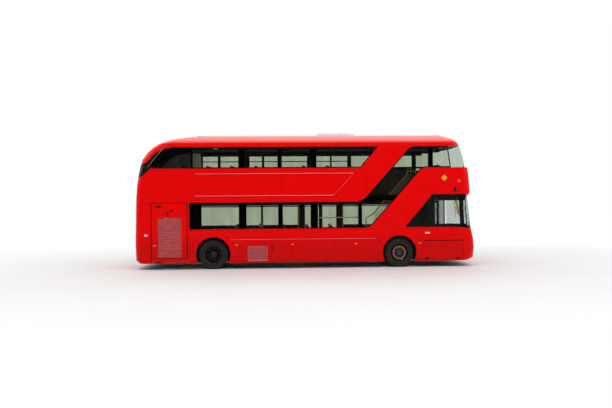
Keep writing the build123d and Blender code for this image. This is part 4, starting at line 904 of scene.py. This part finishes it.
# The driver's side window: black towards the rear and along both edges, a pillar, and a yellow handle
cab = Shape()
for points in ([(3.19, 1.31), (4.16, 1.31), (4.16, 2.36), (4.09, 2.36)],
               [(4.16, 2.16), (5.17, 2.16), (5.17, 2.36), (4.16, 2.36)],
               [(4.16, 1.30), (5.22, 1.30), (5.21, 1.40), (4.16, 1.40)],
               [(4.99, 1.31), (5.13, 1.31), (5.09, 2.25), (4.95, 2.25)]):
    cab.prism(points, -side + 0.0125, -side + 0.0145)
cab.make("driver_window_black", "body", "black")
grip = Shape().tube([(4.935, -1.215, 1.74), (4.945, -1.195, 1.78), (4.935, -1.190, 1.90),
                     (4.905, -1.190, 2.04), (4.880, -1.195, 2.15), (4.874, -1.215, 2.19)], 0.042, 14)
grip.make("driver_handle", "body", "handle")

# Balusters between the front stair rail and the flight
balusters = Shape()
first, last, pitch = 2.30, 3.58, 0.052
for k in range(int((last - first) / pitch)):
    x = first + k * pitch
    foot = FLOOR_Z + (x - 1.895) / SLANT - 0.02
    balusters.box(x - 0.009, x + 0.009, -0.604, -0.590, foot, min(foot + 0.98, 3.14))
balusters.make("stair_balusters", "body", "baluster", 0.002)

# The cab's side door: a moulded lower panel with a catch, and a dark pane in a frame over it
door, x0, x1 = Shape(), front_x + 0.965, front_x + 1.740
for a, b, c, d in ((x0, x1, 0.375, 1.180), (x0, x0 + 0.040, 1.180, 2.200), (x1 - 0.040, x1, 1.180, 2.200),
                   (x0, x1, 2.200, 2.250)):
    door.box(a, b, -0.346, -0.318, c, d)
door.box(x0 + 0.06, x1 - 0.06, -0.350, -0.314, 0.46, 1.08)
door.box(x1 - 0.13, x1 - 0.05, -0.366, -0.298, 1.105, 1.125)
door.make("cab_side_door", "body", "plastic", 0.006)
pane = Shape().box(x0 + 0.038, x1 - 0.038, -0.335, -0.329, 1.176, 2.204)
pane.make("cab_side_pane", "body", "cab_tint")

# A bare green exit plate over an upper window, the joint of the rear screen and its quarter glass,
# and a capping rail on the screen round the stair well
sign = Shape().box(-2.990, -2.872, -side + 0.016, -side + 0.024, 3.858, 3.900)
sign.make("exit_plate", "body", "green", 0.002)
joint = seam(Shape(), "right", [(-4.60, 3.885), (-4.73, 3.745), (-4.88, 3.570), (-5.02, 3.390),
                                (-5.09, 3.290)], 0.018, 0.001, 0.05)
joint.make("quarter_glass_joint", "body", "grey", solid=0.0012)
cap = Shape().box(2.095, 3.415, -0.553, -0.512, 3.218, 3.300)
cap.box(2.095, 2.150, -1.200, -0.512, 3.218, 3.300)
cap.make("well_capping", "body", "black", 0.012)

# Ribbed rubber curtains under the wheel boxes at both ends of each arch
curtains = Shape()
for hub_x, y in ((front_x, 0.5375), (rear_x, 0.5425)):
    for way in (-1, 1):
        y0, y1 = sorted((way * (y - 0.004), way * (y + 0.004)))
        for x0, x1 in ((hub_x - 0.575, hub_x - 0.38), (hub_x + 0.38, hub_x + 0.575)):
            curtains.box(x0, x1, y0, y1, 0.165, 0.330)
            for k in range(3):
                a = x0 + 0.03 + k * 0.06
                curtains.box(a, a + 0.012, y0 - 0.003, y1 + 0.003, 0.165, 0.325)
curtains.make("splash_curtains", "body", "rubber")

# Rubber lips: on the jambs of each doorway, and on the meeting edges of the middle leaves
lips, jamb_y, jamb_z = Shape(), (1.226, 1.252), (0.330, 2.235)
for x0, x1, reach in ((-0.060, 1.240, 0.019), (3.750, 4.950, 0.008), (-5.210, -4.250, 0.004)):
    lips.box(x0, x0 + reach, *jamb_y, *jamb_z)
    lips.box(x1 - reach, x1, *jamb_y, *jamb_z)
lips.box(-0.055, 1.235, *jamb_y, 2.222, 2.245)
lips.make("door_jamb_lips", "body", "rubber", 0.002)
meeting = Shape().box(0.585, 0.595, 1.232, 1.246, 0.390, 2.210)
meeting.make("middle_door_lip", "body", "rubber", 0.002)


# Lamp trims: a bright bezel and an inner ring on each lens, and a domed bulb cover
def circle(u, v, r, count):
    turns = [2 * math.pi * k / count for k in range(count)]
    return [(u + r * math.cos(a), v + r * math.sin(a)) for a in turns]


def ring_on(shape, face, u, v, r, thick, lift):
    points = circle(u, v, r, 36)
    return shape.tube([on_skin(face, *p, lift) for p in points + points[:1]], thick, 6)


def dome_on(shape, face, u, v, r, rise, count=24, rows=5):
    angles = [j * math.pi / 2 / rows for j in range(rows)]
    rings = [shape.points(on_skin(face, *p, rise * math.sin(a) + 0.0005)
                          for p in circle(u, v, r * math.cos(a), count)) for a in angles]
    top, = shape.points([on_skin(face, u, v, rise)])
    for k in range(count):
        shape.bm.faces.new((rings[-1][k], rings[-1][(k + 1) % count], top))
    return shape.skin(rings, True)


for node, face, domes, finish, lift, rise in (
        ("headlamps", "front", "headlamp_bulbs", "lamp_clear", 0.001, 0.010),
        ("tail_lamps", "rear", "tail_lamp_bulbs", "lamp_red", -0.0032, 0.0012)):
    trims, bulbs = Shape(), Shape()
    for lo, hi in islands(node):
        y, z, r = (lo.y + hi.y) / 2, (lo.z + hi.z) / 2, (hi.z - lo.z) / 2
        ring_on(trims, face, y, z, r - 0.005, 0.0045, lift)
        ring_on(trims, face, y, z, r * 0.62, 0.0025, lift / 2)
        dome_on(bulbs, face, y, z, r * 0.5, rise)
    trims.make(node + "_trims", "body", "steel")
    bulbs.make(domes, "body", finish)

# Camera, light and floor
cam_data = bpy.data.cameras.new("camera")
cam_data.lens = 35.0
cam_data.sensor_width = 36.0
cam_data.clip_end = 300.0
camera = into_scene("camera", cam_data)
camera.matrix_world = (
    Matrix.Translation((-0.811, -20.45, 2.077)) @ Matrix.Rotation(math.radians(-2.3), 4, "Z")
    @ Matrix.Rotation(math.radians(90), 4, "X") @ Matrix.Rotation(math.radians(-0.46), 4, "Z"))
scene.camera = camera


def lamp(name, at, aim, size, power):
    """A rectangular area lamp at a place, facing another."""
    data = bpy.data.lights.new(name, "AREA")
    data.shape = "RECTANGLE"
    data.size, data.size_y = size
    data.energy = power
    obj = into_scene(name, data)
    obj.location = at
    obj.rotation_euler = (Vector(aim) - Vector(at)).to_track_quat("-Z", "Y").to_euler()


lamp("sky", (0, -9, 17), (0, 0, 2), (30, 12), 1750)
lamp("sky_far", (0, 10, 16), (0, 0, 2), (30, 12), 900)
lamp("front_fill", (17, -3, 9), (4, 0, 2), (9, 9), 380)
lamp("rear_fill", (-17, 3, 9), (-4, 0, 2), (9, 9), 380)


def seen_straight(g):
    """1 for rays from the camera and those that came through glass."""
    ray = g.add("LightPath").outputs
    return g.most(ray["Is Camera Ray"], ray["Is Transmission Ray"])


# World: brighter upwards as light, plain white as the backdrop
scene.world = bpy.data.worlds.new("studio")
g = Nodes(scene.world)
level = g.spread(g.place("Generated")["Z"], 0.32, 0.62, 0.0, 0.6)
strength = g.add("Mix", {0: seen_straight(g), 2: level, 3: 1.0}).outputs[0]
g.feed(g.nodes["Background"], {"Color": (1.0, 1.0, 1.0, 1.0), "Strength": strength})

# Floor: it keeps the shadow near the bus, and turns into the backdrop's white further out
floor_mesh = bpy.data.meshes.new("floor")
floor_mesh.from_pydata([(-60, -60, 0), (60, -60, 0), (60, 60, 0), (-60, 60, 0)], [], [(0, 1, 2, 3)])
floor = into_scene("floor", floor_mesh)
ground = finish_of("studio_floor", (0.84, 0.835, 0.83), (0.81, 0.805, 0.80), 0.7, scale=0.5, grain=40.0,
                   bump=0.05)
g = Nodes(ground)
shadow = (1 / 9.5, 1 / 5.5, 0)    # one over its half length and half width
squeezed = g.add("VectorMath", {0: g.coords(), 1: shadow}, operation="MULTIPLY")
away = g.add("VectorMath", {0: squeezed.outputs["Vector"]}, operation="LENGTH").outputs["Value"]
both = g.add("MixShader", {
    0: g.times(g.spread(away, 0.0, 1.0, 0.75, 1.9), seen_straight(g)),
    1: g.shader.outputs["BSDF"], 2: g.add("Emission").outputs["Emission"]})
g.feed(g.nodes["Material Output"], {"Surface": both.outputs["Shader"]})
floor_mesh.materials.append(ground)
